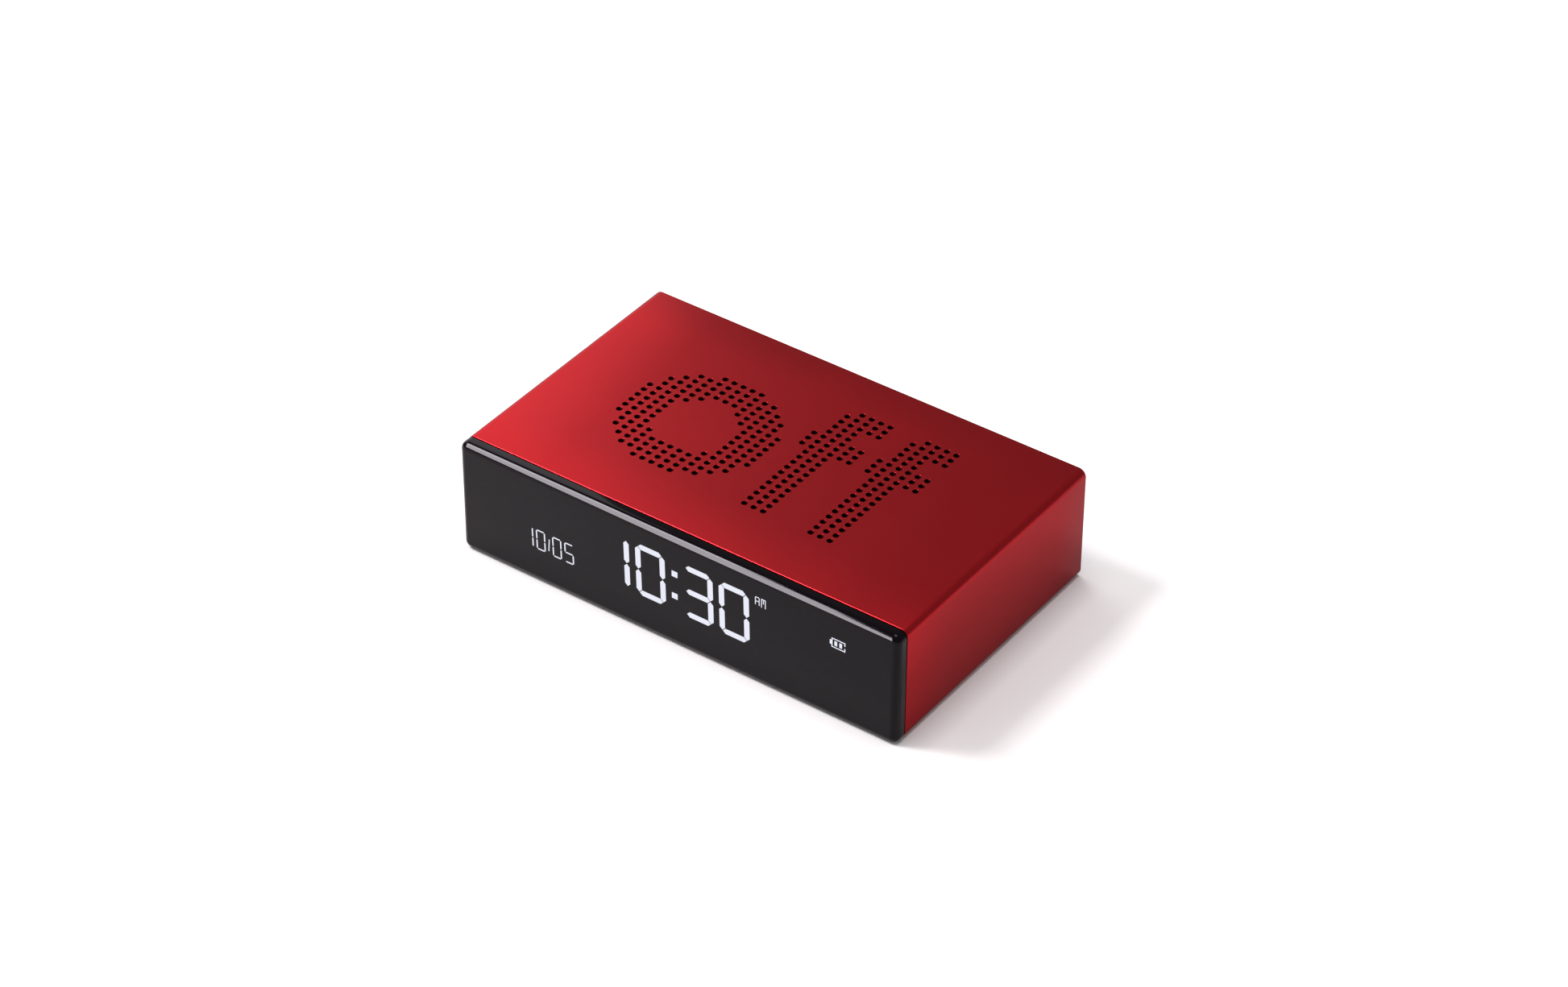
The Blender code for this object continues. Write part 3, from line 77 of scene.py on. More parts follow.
# ---- what the frame gives ----
SLEEVE_LOW, SLEEVE_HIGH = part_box("housing_sleeve")
LENS_LOW, LENS_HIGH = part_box("front_lens")
PANEL_LOW, PANEL_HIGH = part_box("rear_panel")
PORT_LOW, PORT_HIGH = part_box("port_shell")
WIDTH = SLEEVE_HIGH.x - SLEEVE_LOW.x
HEIGHT = SLEEVE_HIGH.z - SLEEVE_LOW.z
MID_Z = (SLEEVE_LOW.z + SLEEVE_HIGH.z) / 2


# ======== sizes that a user would change ========


def length(name, description, millimetres):
    """A length, given in millimetres."""
    return FloatProperty(name=name, description=description, default=millimetres * MM,
                         min=0.0, unit="LENGTH", subtype="DISTANCE", precision=5)


def paint(name, description, color):
    """A colour, in linear values."""
    return FloatVectorProperty(name=name, description=description, default=color, size=3,
                               min=0.0, max=1.0, subtype="COLOR")


def share(name, description, default, top=1.0):
    """A plain number from nought to its top."""
    return FloatProperty(name=name, description=description, default=default, min=0.0, max=top)


def watts(name, description, default):
    """The power of a light."""
    return FloatProperty(name=name, description=description, default=default, min=0.0, unit="POWER")


def color_of(code):
    """A linear colour from an sRGB code such as #a01722."""
    values = [int(code[start:start + 2], 16) / 255 for start in (1, 3, 5)]
    return tuple(v / 12.92 if v <= 0.04045 else ((v + 0.055) / 1.055) ** 2.4 for v in values)


class SleeveSettings(bpy.types.PropertyGroup):
    wall: length("Wall", "Thickness of the sleeve's wall", 1.6)
    edge_radius: length("Edge radius", "Radius of the long edges", 2.0)
    end_round: length("End rounding", "Radius on the outer edge of each open end", 0.1)
    pitch_x: length("Hole pitch across", "Distance between sound holes along the front", 2.585)
    pitch_y: length("Hole pitch deep", "Distance between sound holes front to back", 2.352)
    hole: length("Hole diameter", "Diameter of a sound hole", 1.58)
    hole_edge: length("Hole edge", "Width of the chamfer round each hole", 0.018)
    shift_x: length("Lettering shift", "How far the lettering stands left of the middle", 2.4)
    color: paint("Colour", "Colour of the anodised metal", color_of("#a41019"))
    roughness: share("Roughness", "How satin the metal is", 0.31)
    # Painted shade: this dark colour on the walls of the sound holes stands in for the shade inside the
    # holes.
    hole_wall_shade_color: paint("Bore colour", "Colour of the dull walls of the sound holes", color_of("#3a080c"))


class WindowSettings(bpy.types.PropertyGroup):
    edge_radius: length("Front edge radius", "Radius round the front face", 1.8)
    color: paint("Colour", "Colour of the smoked window", color_of("#060306"))
    roughness: share("Roughness", "How soft the window's reflections are", 0.06)


class DisplaySettings(bpy.types.PropertyGroup):
    time_shown: StringProperty(name="Time", description="Four digits and a colon", default="10:30")
    date_shown: StringProperty(name="Date", description="Month, stroke and day", default="10/05")
    digit_height: length("Digit height", "Height of the time's digits", 14.35)
    digit_width: length("Digit width", "Width of the time's digits", 8.2)
    stroke: length("Stroke", "Width of the time's segments", 1.45)
    lean: FloatProperty(name="Lean", description="How far the digits lean back", default=math.radians(1.4),
                        subtype="ANGLE")
    color: paint("Lit colour", "Colour of the lit segments", color_of("#e9ebf8"))
    glow: share("Glow", "Strength of the lit segments", 1.0, 5.0)


class RearSettings(bpy.types.PropertyGroup):
    opening_chamfer: length("Opening chamfer", "Chamfer round the openings of the rear panel", 0.2)
    key_round: length("Key rounding", "Radius round each key's face", 0.35)
    symbol_height: length("Symbol height", "How far a key's symbol stands out", 0.06)
    symbol_color: paint("Symbol colour", "Colour of the keys' symbols", color_of("#b9b7bb"))
    steps: IntProperty(name="Arc steps", description="Steps in a quarter turn of a round corner",
                       default=8, min=2, max=24)


class StageSettings(bpy.types.PropertyGroup):
    # The floor's faint pink is painted reflection: it stands in for red light thrown from the sleeve onto the
    # floor, and shows only in the shadow, where the floor is not blown out to white.
    floor_color: paint("Floor", "Colour of the floor", (0.92, 0.885, 0.895))
    sky: share("Sky", "Strength of the even light from all round", 0.36, 10.0)
    key_power: watts("Key light", "Power of the soft light high on the left", 10.5)
    key_size: length("Key light size", "Side of the soft light high on the left", 300.0)
    strip_power: watts("Strip light", "Power of the strip that draws the line along the window's edge", 55.0)
    strip_width: length("Strip light width", "Width of the strip light", 360.0)
    strip_height: length("Strip light height", "Height of the strip light", 1400.0)
    card_power: watts("Left card", "Power of the near card on the left", 1.6)
    card_size: length("Left card size", "Side of the near card on the left", 520.0)
    top_power: watts("Top light", "Power of the light overhead", 19.5)
    top_size: length("Top light size", "Side of the light overhead", 900.0)


# ======== small tools ========


def add_node(tree, kind, inputs=None, **settings):
    """Adds a node with its settings, and its inputs as values or as links from other sockets."""
    node = tree.nodes.new(kind)
    for name, value in settings.items():
        setattr(node, name, value)
    for name, value in (inputs or {}).items():
        socket = node.inputs[name]
        if isinstance(value, bpy.types.NodeSocket):
            tree.links.new(value, socket)
        else:
            socket.default_value = value
    return node


def add_mesh(name, bm, material=None, smooth=35):
    """An object from a bmesh, smooth but for edges sharper than the angle."""
    bmesh.ops.remove_doubles(bm, verts=bm.verts, dist=1e-7)
    bmesh.ops.recalc_face_normals(bm, faces=bm.faces)
    mesh = bpy.data.meshes.new(name)
    bm.to_mesh(mesh)
    bm.free()
    mesh.shade_smooth()
    mesh.set_sharp_from_angle(angle=math.radians(smooth))
    if material:
        mesh.materials.append(material)
    obj = bpy.data.objects.new(name, mesh)
    bpy.context.scene.collection.objects.link(obj)
    return obj


def applied(obj, smooth=35):
    """The object with its modifiers made part of its mesh."""
    bpy.context.view_layer.update()
    graph = bpy.context.evaluated_depsgraph_get()
    mesh = bpy.data.meshes.new_from_object(obj.evaluated_get(graph))
    obj.modifiers.clear()
    mesh.name = obj.name
    obj.data = mesh
    mesh.shade_smooth()
    mesh.set_sharp_from_angle(angle=math.radians(smooth))
    return obj


def rounded_rect(width, height, radius, steps):
    """Points of a rectangle with round corners about (0, 0), anticlockwise from its right side."""
    points = []
    for corner, (sx, sy) in enumerate(((1, 1), (-1, 1), (-1, -1), (1, -1))):
        for step in range(steps + 1):
            angle = math.radians(90 * (corner + step / steps))
            points.append((sx * (width / 2 - radius) + radius * math.cos(angle),
                           sy * (height / 2 - radius) + radius * math.sin(angle)))
    return points


def circle(radius, sides):
    """Points round a circle about (0, 0)."""
    turns = (2 * math.pi * side / sides for side in range(sides))
    return [(radius * math.cos(turn), radius * math.sin(turn)) for turn in turns]


def add_stack(bm, layers, center=(0, 0)):
    """A solid through outlines with as many points each; a layer is its (x, z) outline and its y."""
    loops = [[bm.verts.new((center[0] + u, y, center[1] + v)) for u, v in outline] for outline, y in layers]
    for lower, upper in zip(loops, loops[1:]):
        for i, corner in enumerate(lower):
            bm.faces.new((lower[i - 1], corner, upper[i], upper[i - 1]))
    bm.faces.new(loops[0])
    bm.faces.new(loops[-1])


def add_plate(bm, outline, low, high, center=(0, 0)):
    """A flat plate of one outline, between two places along Y."""
    add_stack(bm, [(outline, low), (outline, high)], center)


def rounding(radius, steps):
    """(how far in, how far back) of points round a quarter circle, from the side to the face."""
    angles = (math.radians(90 * step / steps) for step in range(steps + 1))
    return [(radius * (1 - math.cos(a)), radius * (1 - math.sin(a))) for a in angles]


# ======== finishes ========

NOISE_LOW, NOISE_HIGH = 0.3, 0.7  # nearly all of the noise lies between these


def start_material(name):
    """A new material with its node tree and its shader node."""
    material = bpy.data.materials.new(name)
    material.use_nodes = True
    tree = material.node_tree
    return material, tree, tree.nodes["Principled BSDF"]


def noise(tree, size_mm, detail=3.0, stretch=(1, 1, 1)):
    """Noise whose features are about as large as size_mm, which may be drawn out along an axis."""
    place = add_node(tree, "ShaderNodeTexCoord").outputs["Object"]
    turn = add_node(tree, "ShaderNodeMapping", {"Vector": place, "Scale": stretch})
    return add_node(tree, "ShaderNodeTexNoise", {
        "Vector": turn.outputs["Vector"], "Scale": 1 / (size_mm * MM), "Detail": detail,
    }).outputs["Fac"]


def between(tree, factor, low, high):
    """Turns a 0 to 1 factor into a number between two others."""
    return add_node(tree, "ShaderNodeMapRange", {
        "Value": factor, "From Min": NOISE_LOW, "From Max": NOISE_HIGH, "To Min": low, "To Max": high,
    }).outputs["Result"]


def tint(tree, factor, dark, light):
    """Turns a 0 to 1 factor into a colour between two others."""
    ramp = add_node(tree, "ShaderNodeValToRGB", {"Fac": factor})
    ramp.color_ramp.elements[0].position = NOISE_LOW
    ramp.color_ramp.elements[1].position = NOISE_HIGH
    ramp.color_ramp.elements[0].color = (*dark, 1)
    ramp.color_ramp.elements[1].color = (*light, 1)
    return ramp.outputs["Color"]


def bump(tree, shader, height, depth_mm, strength=1.0):
    """Gives the shader a relief of the depth."""
    node = add_node(tree, "ShaderNodeBump", {
        "Height": height, "Distance": depth_mm * MM, "Strength": strength,
    })
    tree.links.new(node.outputs["Normal"], shader.inputs["Normal"])


def scaled(color, factor):
    """The colour made darker or lighter, without going past white."""
    return tuple(min(1.0, channel * factor) for channel in color)


def grained(name, color, roughness, grain_mm=0.35, depth_mm=0.01, metallic=0.0, mottle=0.12):
    """A plain engineering finish: fine grain, slight mottling, and uneven gloss."""
    material, tree, shader = start_material(name)
    broad = noise(tree, 14.0, 2.0)
    fine = noise(tree, grain_mm)
    colors = tint(tree, broad, scaled(color, 1 - mottle), scaled(color, 1 + mottle))
    tree.links.new(colors, shader.inputs["Base Color"])
    tree.links.new(between(tree, fine, roughness * 0.88, roughness * 1.12), shader.inputs["Roughness"])
    shader.inputs["Metallic"].default_value = metallic
    bump(tree, shader, fine, depth_mm)
    return material


def anodised_aluminium(color, roughness):
    """Bead-blasted and dyed metal: a soft sheen that turns grainy close up, and slight dye clouds."""
    material, tree, shader = start_material("anodised_aluminium")
    clouds = noise(tree, 40.0, 2.0)
    blast = noise(tree, 0.16, 2.0)
    tree.links.new(tint(tree, clouds, scaled(color, 0.95), scaled(color, 1.05)), shader.inputs["Base Color"])
    tree.links.new(between(tree, blast, roughness * 0.93, roughness * 1.07), shader.inputs["Roughness"])
    shader.inputs["Metallic"].default_value = 0.95
    shader.inputs["Specular Tint"].default_value = (0.25, 0.5, 0.5, 1)
    shader.inputs["Coat Weight"].default_value = 0.17
    shader.inputs["Coat Roughness"].default_value = 0.35
    bump(tree, shader, blast, 0.004, 0.6)
    return material


def smoked_acrylic(color, roughness):
    """Near-black glossy plastic, with faint wiping marks in its gloss."""
    material, tree, shader = start_material("smoked_acrylic")
    depth = noise(tree, 60.0, 1.0)
    wipes = noise(tree, 6.0, 4.0, (0.25, 1, 1))
    tree.links.new(tint(tree, depth, scaled(color, 0.92), scaled(color, 1.08)), shader.inputs["Base Color"])
    tree.links.new(between(tree, wipes, roughness * 0.9, roughness * 1.1), shader.inputs["Roughness"])
    shader.inputs["Specular IOR Level"].default_value = 0.12
    shader.inputs["Specular Tint"].default_value = (1, 0.93, 1, 1)
    bump(tree, shader, depth, 0.003, 0.4)
    return material


def lit_segments(color, glow):
    """Back-lit segments: even light, a touch softer where the light guide is weaker."""
    material, tree, shader = start_material("lit_segments")
    drift = noise(tree, 25.0, 1.0)
    light = tint(tree, drift, scaled(color, 0.97), color)
    tree.links.new(light, shader.inputs["Emission Color"])
    shader.inputs["Emission Strength"].default_value = glow
    tree.links.new(tint(tree, drift, scaled(color, 0.01), scaled(color, 0.012)), shader.inputs["Base Color"])
    shader.inputs["Roughness"].default_value = 0.6
    shader.inputs["Specular IOR Level"].default_value = 0.1
    return material


def woven_cloth(name, color, thread_mm=0.32):
    """Plain weave: crossing waves give threads with a painted highlight where they catch light, and painted
    shade in the fluff between them.
    """
    material, tree, shader = start_material(name)
    place = add_node(tree, "ShaderNodeTexCoord").outputs["Object"]
    waves = [add_node(tree, "ShaderNodeTexWave", {
        "Vector": place, "Scale": 0.5 / (thread_mm * MM) / math.pi, "Distortion": 0.4,
    }, bands_direction=axis).outputs["Fac"] for axis in ("X", "Y")]
    weave = add_node(tree, "ShaderNodeMath", {0: waves[0], 1: waves[1]}, operation="MULTIPLY").outputs[0]
    # Thread crests lighter and gaps darker: painted highlight and painted shade.
    tree.links.new(tint(tree, weave, scaled(color, 0.5), scaled(color, 1.4)), shader.inputs["Base Color"])
    shader.inputs["Roughness"].default_value = 0.92
    shader.inputs["Sheen Weight"].default_value = 0.2
    bump(tree, shader, weave, 0.08)
    return material


def circuit_board(track_mm=9.0, track_share=0.03):
    """Green solder mask: raised tracks run under it, and it pools glossy between them."""
    material, tree, shader = start_material("circuit_board")
    place = add_node(tree, "ShaderNodeTexCoord").outputs["Object"]
    tracks = add_node(tree, "ShaderNodeTexBrick", {
        "Vector": place, "Scale": 1 / (track_mm * MM), "Mortar Size": track_share,
        "Color1": (0, 0, 0, 1), "Color2": (0, 0, 0, 1), "Mortar": (1, 1, 1, 1),
    }).outputs["Fac"]
    tree.links.new(tint(tree, tracks, color_of("#174a2c"), color_of("#2f7a49")), shader.inputs["Base Color"])
    shader.inputs["Roughness"].default_value = 0.32
    bump(tree, shader, tracks, 0.035)
    return material


def ribbon_cable(core_mm=1.0):
    """Amber film over fine copper lines that run along the cable."""
    material, tree, shader = start_material("ribbon_cable")
    place = add_node(tree, "ShaderNodeTexCoord").outputs["Object"]
    lines = add_node(tree, "ShaderNodeTexWave", {
        "Vector": place, "Scale": 0.5 / (core_mm * MM) / math.pi,
    }, bands_direction="X").outputs["Fac"]
    tree.links.new(tint(tree, lines, color_of("#8a4a1c"), color_of("#c98a45")), shader.inputs["Base Color"])
    shader.inputs["Roughness"].default_value = 0.28
    bump(tree, shader, lines, 0.02)
    return material


def speckled(name, dark, light, dot_mm, roughness, depth_mm=0.01):
    """Cells of two tones, as in printed dots, foam or sintered powder."""
    material, tree, shader = start_material(name)
    place = add_node(tree, "ShaderNodeTexCoord").outputs["Object"]
    cells = add_node(tree, "ShaderNodeTexVoronoi", {
        "Vector": place, "Scale": 1 / (dot_mm * MM),
    }).outputs["Distance"]
    tree.links.new(tint(tree, cells, dark, light), shader.inputs["Base Color"])
    shader.inputs["Roughness"].default_value = roughness
    bump(tree, shader, cells, depth_mm)
    return material


def hidden_finishes():
    """The finishes of the pieces that stay as the frame has them, by slot."""
    return {
        "acoustic_cloth": woven_cloth("acoustic_cloth", color_of("#221c1e")),
        "black_plastic": grained("black_plastic", color_of("#211f23"), 0.5),
        "clear_film": grained("touch_film", color_of("#bfc5c2"), 0.18, 2.0, 0.002),
        "display_glass": grained("display_glass", color_of("#17161b"), 0.12, 3.0, 0.001),
        "light_guide": speckled("light_guide", color_of("#f2f4f8"), color_of("#c9d2dd"), 1.2, 0.2),
        "lamp": grained("lamp_package", color_of("#efeddc"), 0.4),
        "contact_rubber": grained("contact_rubber", color_of("#6d675f"), 0.75, 0.18, 0.02),
        "circuit_board": circuit_board(),
        "ribbon_cable": ribbon_cable(),
        "chassis_plastic": grained("chassis_plastic", color_of("#3a393c"), 0.55, 0.5, 0.012),
        "component_black": grained("component_black", color_of("#171618"), 0.55, 0.25),
        "plunger_plastic": grained("plunger_plastic", color_of("#e2decf"), 0.4),
        "socket_nylon": grained("socket_nylon", color_of("#dad3bd"), 0.45, 0.6),
        "ferrite": speckled("ferrite", color_of("#252324"), color_of("#3a3838"), 0.3, 0.75, 0.02),
        "plated_steel": grained("plated_steel", color_of("#c6c6ca"), 0.28, 0.5, 0.002, 1.0, 0.04),
        "screw_steel": grained("black_zinc_steel", color_of("#59565a"), 0.36, 0.3, 0.003, 1.0, 0.06),
        "battery_foil": grained("battery_foil", color_of("#a2a3a8"), 0.34, 4.0, 0.15, 0.8, 0.05),
        "foam_tape": speckled("foam_tape", color_of("#1c1a1c"), color_of("#312f31"), 0.5, 0.95, 0.1),
        "red_insulation": grained("red_insulation", color_of("#a3141a"), 0.42, 0.8),
        "black_insulation": grained("black_insulation", color_of("#181719"), 0.42, 0.8),
        "speaker_plastic": grained("speaker_plastic", color_of("#1b1a1c"), 0.5),
        "magnet_steel": grained("magnet_steel", color_of("#8b8b90"), 0.35, 0.6, 0.003, 1.0, 0.05),
        "cone_paper": speckled("cone_paper", color_of("#1d1b1e"), color_of("#2c2a2e"), 0.4, 0.85, 0.03),
        "key_plastic": grained("key_plastic", color_of("#2b292d"), 0.46, 0.25),
    }


# ======== lettering of sound holes ========


def bars(*ranges):
    """Dots of straight strokes, each given as its first and last column and first and last row."""
    return {(c, r) for c0, c1, r0, r1 in ranges for c in range(c0, c1 + 1) for r in range(r0, r1 + 1)}


ROUND_COLUMNS, ROUND_ROWS = 15, 16
ROUND_OUTER, ROUND_INNER, ROUND_DROP = 19.15 * MM, 9.7 * MM, 0.6 * MM
LETTERING_ROWS = 19
WORD_STARTS = {"off": (16, 23), "on": (16,)}  # the column where each letter after the O starts
COLUMNS = {"off": 29, "on": 26}


def round_letter(settings):
    """The O: the dots between an outer circle and an inner one whose centre is a little lower."""
    dots = set()
    for column in range(ROUND_COLUMNS):
        for row in range(ROUND_ROWS):
            across = (column - (ROUND_COLUMNS - 1) / 2) * settings.pitch_x
            along = (row - (ROUND_ROWS - 1) / 2) * settings.pitch_y
            outer = math.hypot(across, along) < ROUND_OUTER
            inner = math.hypot(across, along + ROUND_DROP) > ROUND_INNER
            if outer and inner:
                dots.add((column, row))
    return dots


def lettering(settings, word):
    """The columns and rows of a word's dots: the O, then two hooks for off or one arch for on."""
    hook = bars((1, 3, 0, 17), (0, 5, 11, 13), (1, 5, 16, 18)) - {(1, 18)}
    arch = bars((0, 2, 0, 12), (3, 9, 10, 12), (7, 9, 0, 11)) - {(9, 12)}
    letter = hook if word == "off" else arch
    return round_letter(settings) | {(c + start, r) for c, r in letter for start in WORD_STARTS[word]}


def column_x(settings, word, column):
    """The middle of a column of dots. The word under the clock reads once the clock is turned over."""
    x = -settings.shift_x + (column - (COLUMNS[word] - 1) / 2) * settings.pitch_x
    return x if word == "off" else -x


def row_y(settings, row):
    """The middle of a row of dots; the O stands about the middle of the depth."""
    return (row - (ROUND_ROWS - 1) / 2) * settings.pitch_y


# ======== sleeve ========


SECTION_STEPS = 8
CELL_SIDES = 16
LEAST_INNER_RADIUS = 0.3 * MM
INNER_END = 0.12 * MM
END_STEPS = 4
WELD_DISTANCE = 0.002 * MM


def section(settings, inset, inner, lines):
    """The sleeve's cross-section with points on the lines of dots: (x, z, line) in order round it."""
    shrink = settings.wall if inner else 0.0
    radius = max(settings.edge_radius - shrink, LEAST_INNER_RADIUS) - (0.0 if inner else inset)
    half_x = WIDTH / 2 - shrink - inset * (-1 if inner else 1)
    half_z = HEIGHT / 2 - shrink - inset * (-1 if inner else 1)
    points = []
    for corner, (sx, sz) in enumerate(((1, 1), (-1, 1), (-1, -1), (1, -1))):
        for step in range(SECTION_STEPS + 1):
            angle = math.radians(90 * (corner + step / SECTION_STEPS))
            points.append((sx * (half_x - radius) + radius * math.cos(angle),
                           MID_Z + sz * (half_z - radius) + radius * math.sin(angle), None))
        if corner == 0:
            points += [(x, MID_Z + half_z, ("off", i)) for i, x in sorted(lines["off"], key=lambda p: -p[1])]
        if corner == 2:
            points += [(x, MID_Z - half_z, ("on", i)) for i, x in sorted(lines["on"], key=lambda p: p[1])]
    return points


def cell_mesh(settings):
    """One sound hole in a square of wall: (0, 0, 0) is on the outer face in its middle."""
    bm = bmesh.new()
    half = (settings.pitch_x / 2, settings.pitch_y / 2)
    radius, edge = settings.hole / 2, settings.hole_edge
    rings = []
    for r, z in ((radius + edge, 0.0), (radius, -edge), (radius, -settings.wall)):
        turns = (math.radians(45) + 2 * math.pi * side / CELL_SIDES for side in range(CELL_SIDES))
        rings.append([bm.verts.new((r * math.cos(turn), r * math.sin(turn), z)) for turn in turns])
    for ring, z, order in ((rings[0], 0.0, 1), (rings[-1], -settings.wall, -1)):
        corners = [bm.verts.new((sx * half[0], sy * half[1], z))
                   for sx, sy in ((1, 1), (-1, 1), (-1, -1), (1, -1))]
        for side in range(4):
            arc = [ring[(side * CELL_SIDES // 4 + k) % CELL_SIDES] for k in range(CELL_SIDES // 4 + 1)]
            face = [corners[side], corners[(side + 1) % 4], *reversed(arc)]
            bm.faces.new(face[::order])
    # The wall below the chamfer is marked for the dark wall colour, painted shade inside the hole.
    bored = bm.faces.layers.bool.new("bored")
    for upper, lower in zip(rings, rings[1:]):
        for i in range(CELL_SIDES):
            face = bm.faces.new((upper[i - 1], lower[i - 1], lower[i], upper[i]))
            face[bored] = lower is rings[-1]
    return add_mesh("sound_hole_cell", bm)


def hole_group(outside, wall_shade):
    """Geometry Nodes: a sound hole on every point, joined to the shell along their shared edges."""
    group = bpy.data.node_groups.new("Sound holes", "GeometryNodeTree")
    for name, kind, way in (
            ("Geometry", "NodeSocketGeometry", "INPUT"), ("Points", "NodeSocketObject", "INPUT"),
            ("Hole", "NodeSocketObject", "INPUT"), ("Weld distance", "NodeSocketFloat", "INPUT"),
            ("Geometry", "NodeSocketGeometry", "OUTPUT")):
        group.interface.new_socket(name, in_out=way, socket_type=kind)
    entry = add_node(group, "NodeGroupInput")
    points = add_node(group, "GeometryNodeObjectInfo", {"Object": entry.outputs["Points"]})
    hole = add_node(group, "GeometryNodeObjectInfo", {"Object": entry.outputs["Hole"]})
    turn = add_node(group, "GeometryNodeInputNamedAttribute", {"Name": "turn"}, data_type="FLOAT_VECTOR")
    placed = add_node(group, "GeometryNodeInstanceOnPoints", {
        "Points": points.outputs["Geometry"], "Instance": hole.outputs["Geometry"],
        "Rotation": turn.outputs["Attribute"],
    })
    real = add_node(group, "GeometryNodeRealizeInstances", {"Geometry": placed.outputs["Instances"]})
    join = add_node(group, "GeometryNodeJoinGeometry")
    group.links.new(entry.outputs["Geometry"], join.inputs["Geometry"])
    group.links.new(real.outputs["Geometry"], join.inputs["Geometry"])
    weld = add_node(group, "GeometryNodeMergeByDistance", {
        "Geometry": join.outputs["Geometry"], "Distance": entry.outputs["Weld distance"],
    })
    finish = add_node(group, "GeometryNodeSetMaterial", {
        "Geometry": weld.outputs["Geometry"], "Material": outside,
    })
    # The walls of the holes take the dark material: painted shade inside the sound holes.
    bored = add_node(group, "GeometryNodeInputNamedAttribute", {"Name": "bored"}, data_type="BOOLEAN")
    walls = add_node(group, "GeometryNodeSetMaterial", {
        "Geometry": finish.outputs["Geometry"], "Selection": bored.outputs["Attribute"], "Material": wall_shade,
    })
    leave = add_node(group, "NodeGroupOutput")
    group.links.new(walls.outputs["Geometry"], leave.inputs["Geometry"])
    return group


def shell_with_gaps(settings, dots):
    """The sleeve as one closed tube of quads, less the squares that the sound holes fill."""
    edges = {}
    for word in dots:
        middle = [column_x(settings, word, column) for column in range(COLUMNS[word])]
        step = settings.pitch_x / 2 * (1 if word == "off" else -1)
        edges[word] = [(i, x - step) for i, x in enumerate(middle)] + [(COLUMNS[word], middle[-1] + step)]
    rows = [row_y(settings, 0) - settings.pitch_y / 2 + row * settings.pitch_y
            for row in range(LETTERING_ROWS + 1)]
    front, back, end = SLEEVE_LOW.y, SLEEVE_HIGH.y, settings.end_round
    turn = rounding(end, END_STEPS)
    levels = [(front + drop, inset, False, None) for inset, drop in reversed(turn)]
    levels += [(y, 0.0, False, row) for row, y in enumerate(rows)]
    levels += [(back - drop, inset, False, None) for inset, drop in turn]
    levels += [(back, INNER_END, True, None), (back - INNER_END, 0.0, True, None)]
    levels += [(y, 0.0, True, row) for row, y in reversed(list(enumerate(rows)))]
    levels += [(front + INNER_END, 0.0, True, None), (front, INNER_END, True, None)]
    bm = bmesh.new()
    loops = []
    for y, inset, inner, row in levels:
        around = section(settings, inset, inner, edges)
        loops.append([(bm.verts.new((x, y, z)), line, row) for x, z, line in around])
    for lower, upper in zip(loops, loops[1:] + loops[:1]):
        for i in range(len(lower)):
            quad = (lower[i - 1], lower[i], upper[i], upper[i - 1])
            if not in_hole(quad, dots):
                bm.faces.new([corner[0] for corner in quad])
    return add_mesh("sleeve_shell", bm)


def in_hole(quad, dots):
    """Whether a quad of the shell is one that a sound hole's own square takes up."""
    lines = [corner[1] for corner in quad]
    rows = [corner[2] for corner in quad]
    if None in lines or None in rows or len({line[0] for line in lines}) > 1:
        return False
    return (min(line[1] for line in lines), min(rows)) in dots[lines[0][0]]


def point_mesh(settings, dots):
    """A point in the middle of every sound hole, with how far its square is turned about Y."""
    spots, turns = [], []
    for word, z, turn in (("off", SLEEVE_HIGH.z, 0.0), ("on", SLEEVE_LOW.z, math.pi)):
        for column, row in sorted(dots[word]):
            spots.append((column_x(settings, word, column), row_y(settings, row), z))
            turns += [0.0, turn, 0.0]
    mesh = bpy.data.meshes.new("sound_hole_points")
    mesh.from_pydata(spots, [], [])
    mesh.attributes.new("turn", "FLOAT_VECTOR", "POINT").data.foreach_set("vector", turns)
    obj = bpy.data.objects.new("sound_hole_points", mesh)
    bpy.context.scene.collection.objects.link(obj)
    return obj


class CLOCK_OT_sleeve(bpy.types.Operator):
    """Makes the sleeve with its round sound holes"""

    bl_idname = "clock.sleeve"
    bl_label = "Sleeve"

    def execute(self, context):
        settings = context.scene.clock_sleeve
        dots = {word: lettering(settings, word) for word in COLUMNS}
        shell = shell_with_gaps(settings, dots)
        spots = point_mesh(settings, dots)
        cell = cell_mesh(settings)
        # The second material is painted shade: its dark colour on the hole walls stands in for the shade
        # inside the holes.
        group = hole_group(anodised_aluminium(tuple(settings.color), settings.roughness),
                           grained("bored_aluminium", tuple(settings.hole_wall_shade_color), 0.6, 0.2, 0.004, 0.9))
        modifier = shell.modifiers.new("Sound holes", "NODES")
        modifier.node_group = group
        values = {"Points": spots, "Hole": cell, "Weld distance": WELD_DISTANCE}
        for item in group.interface.items_tree:
            if item.in_out == "INPUT" and item.name in values:
                modifier[item.identifier] = values[item.name]
        applied(shell)
        for helper in (spots, cell):
            bpy.data.objects.remove(helper)
        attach(shell, "housing")
        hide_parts("housing_sleeve")
        return {"FINISHED"}


# ======== window and display ========


WINDOW_BACK_ROUND = 0.15 * MM
WINDOW_FRONT_STEPS, WINDOW_CORNER_STEPS = 10, 12


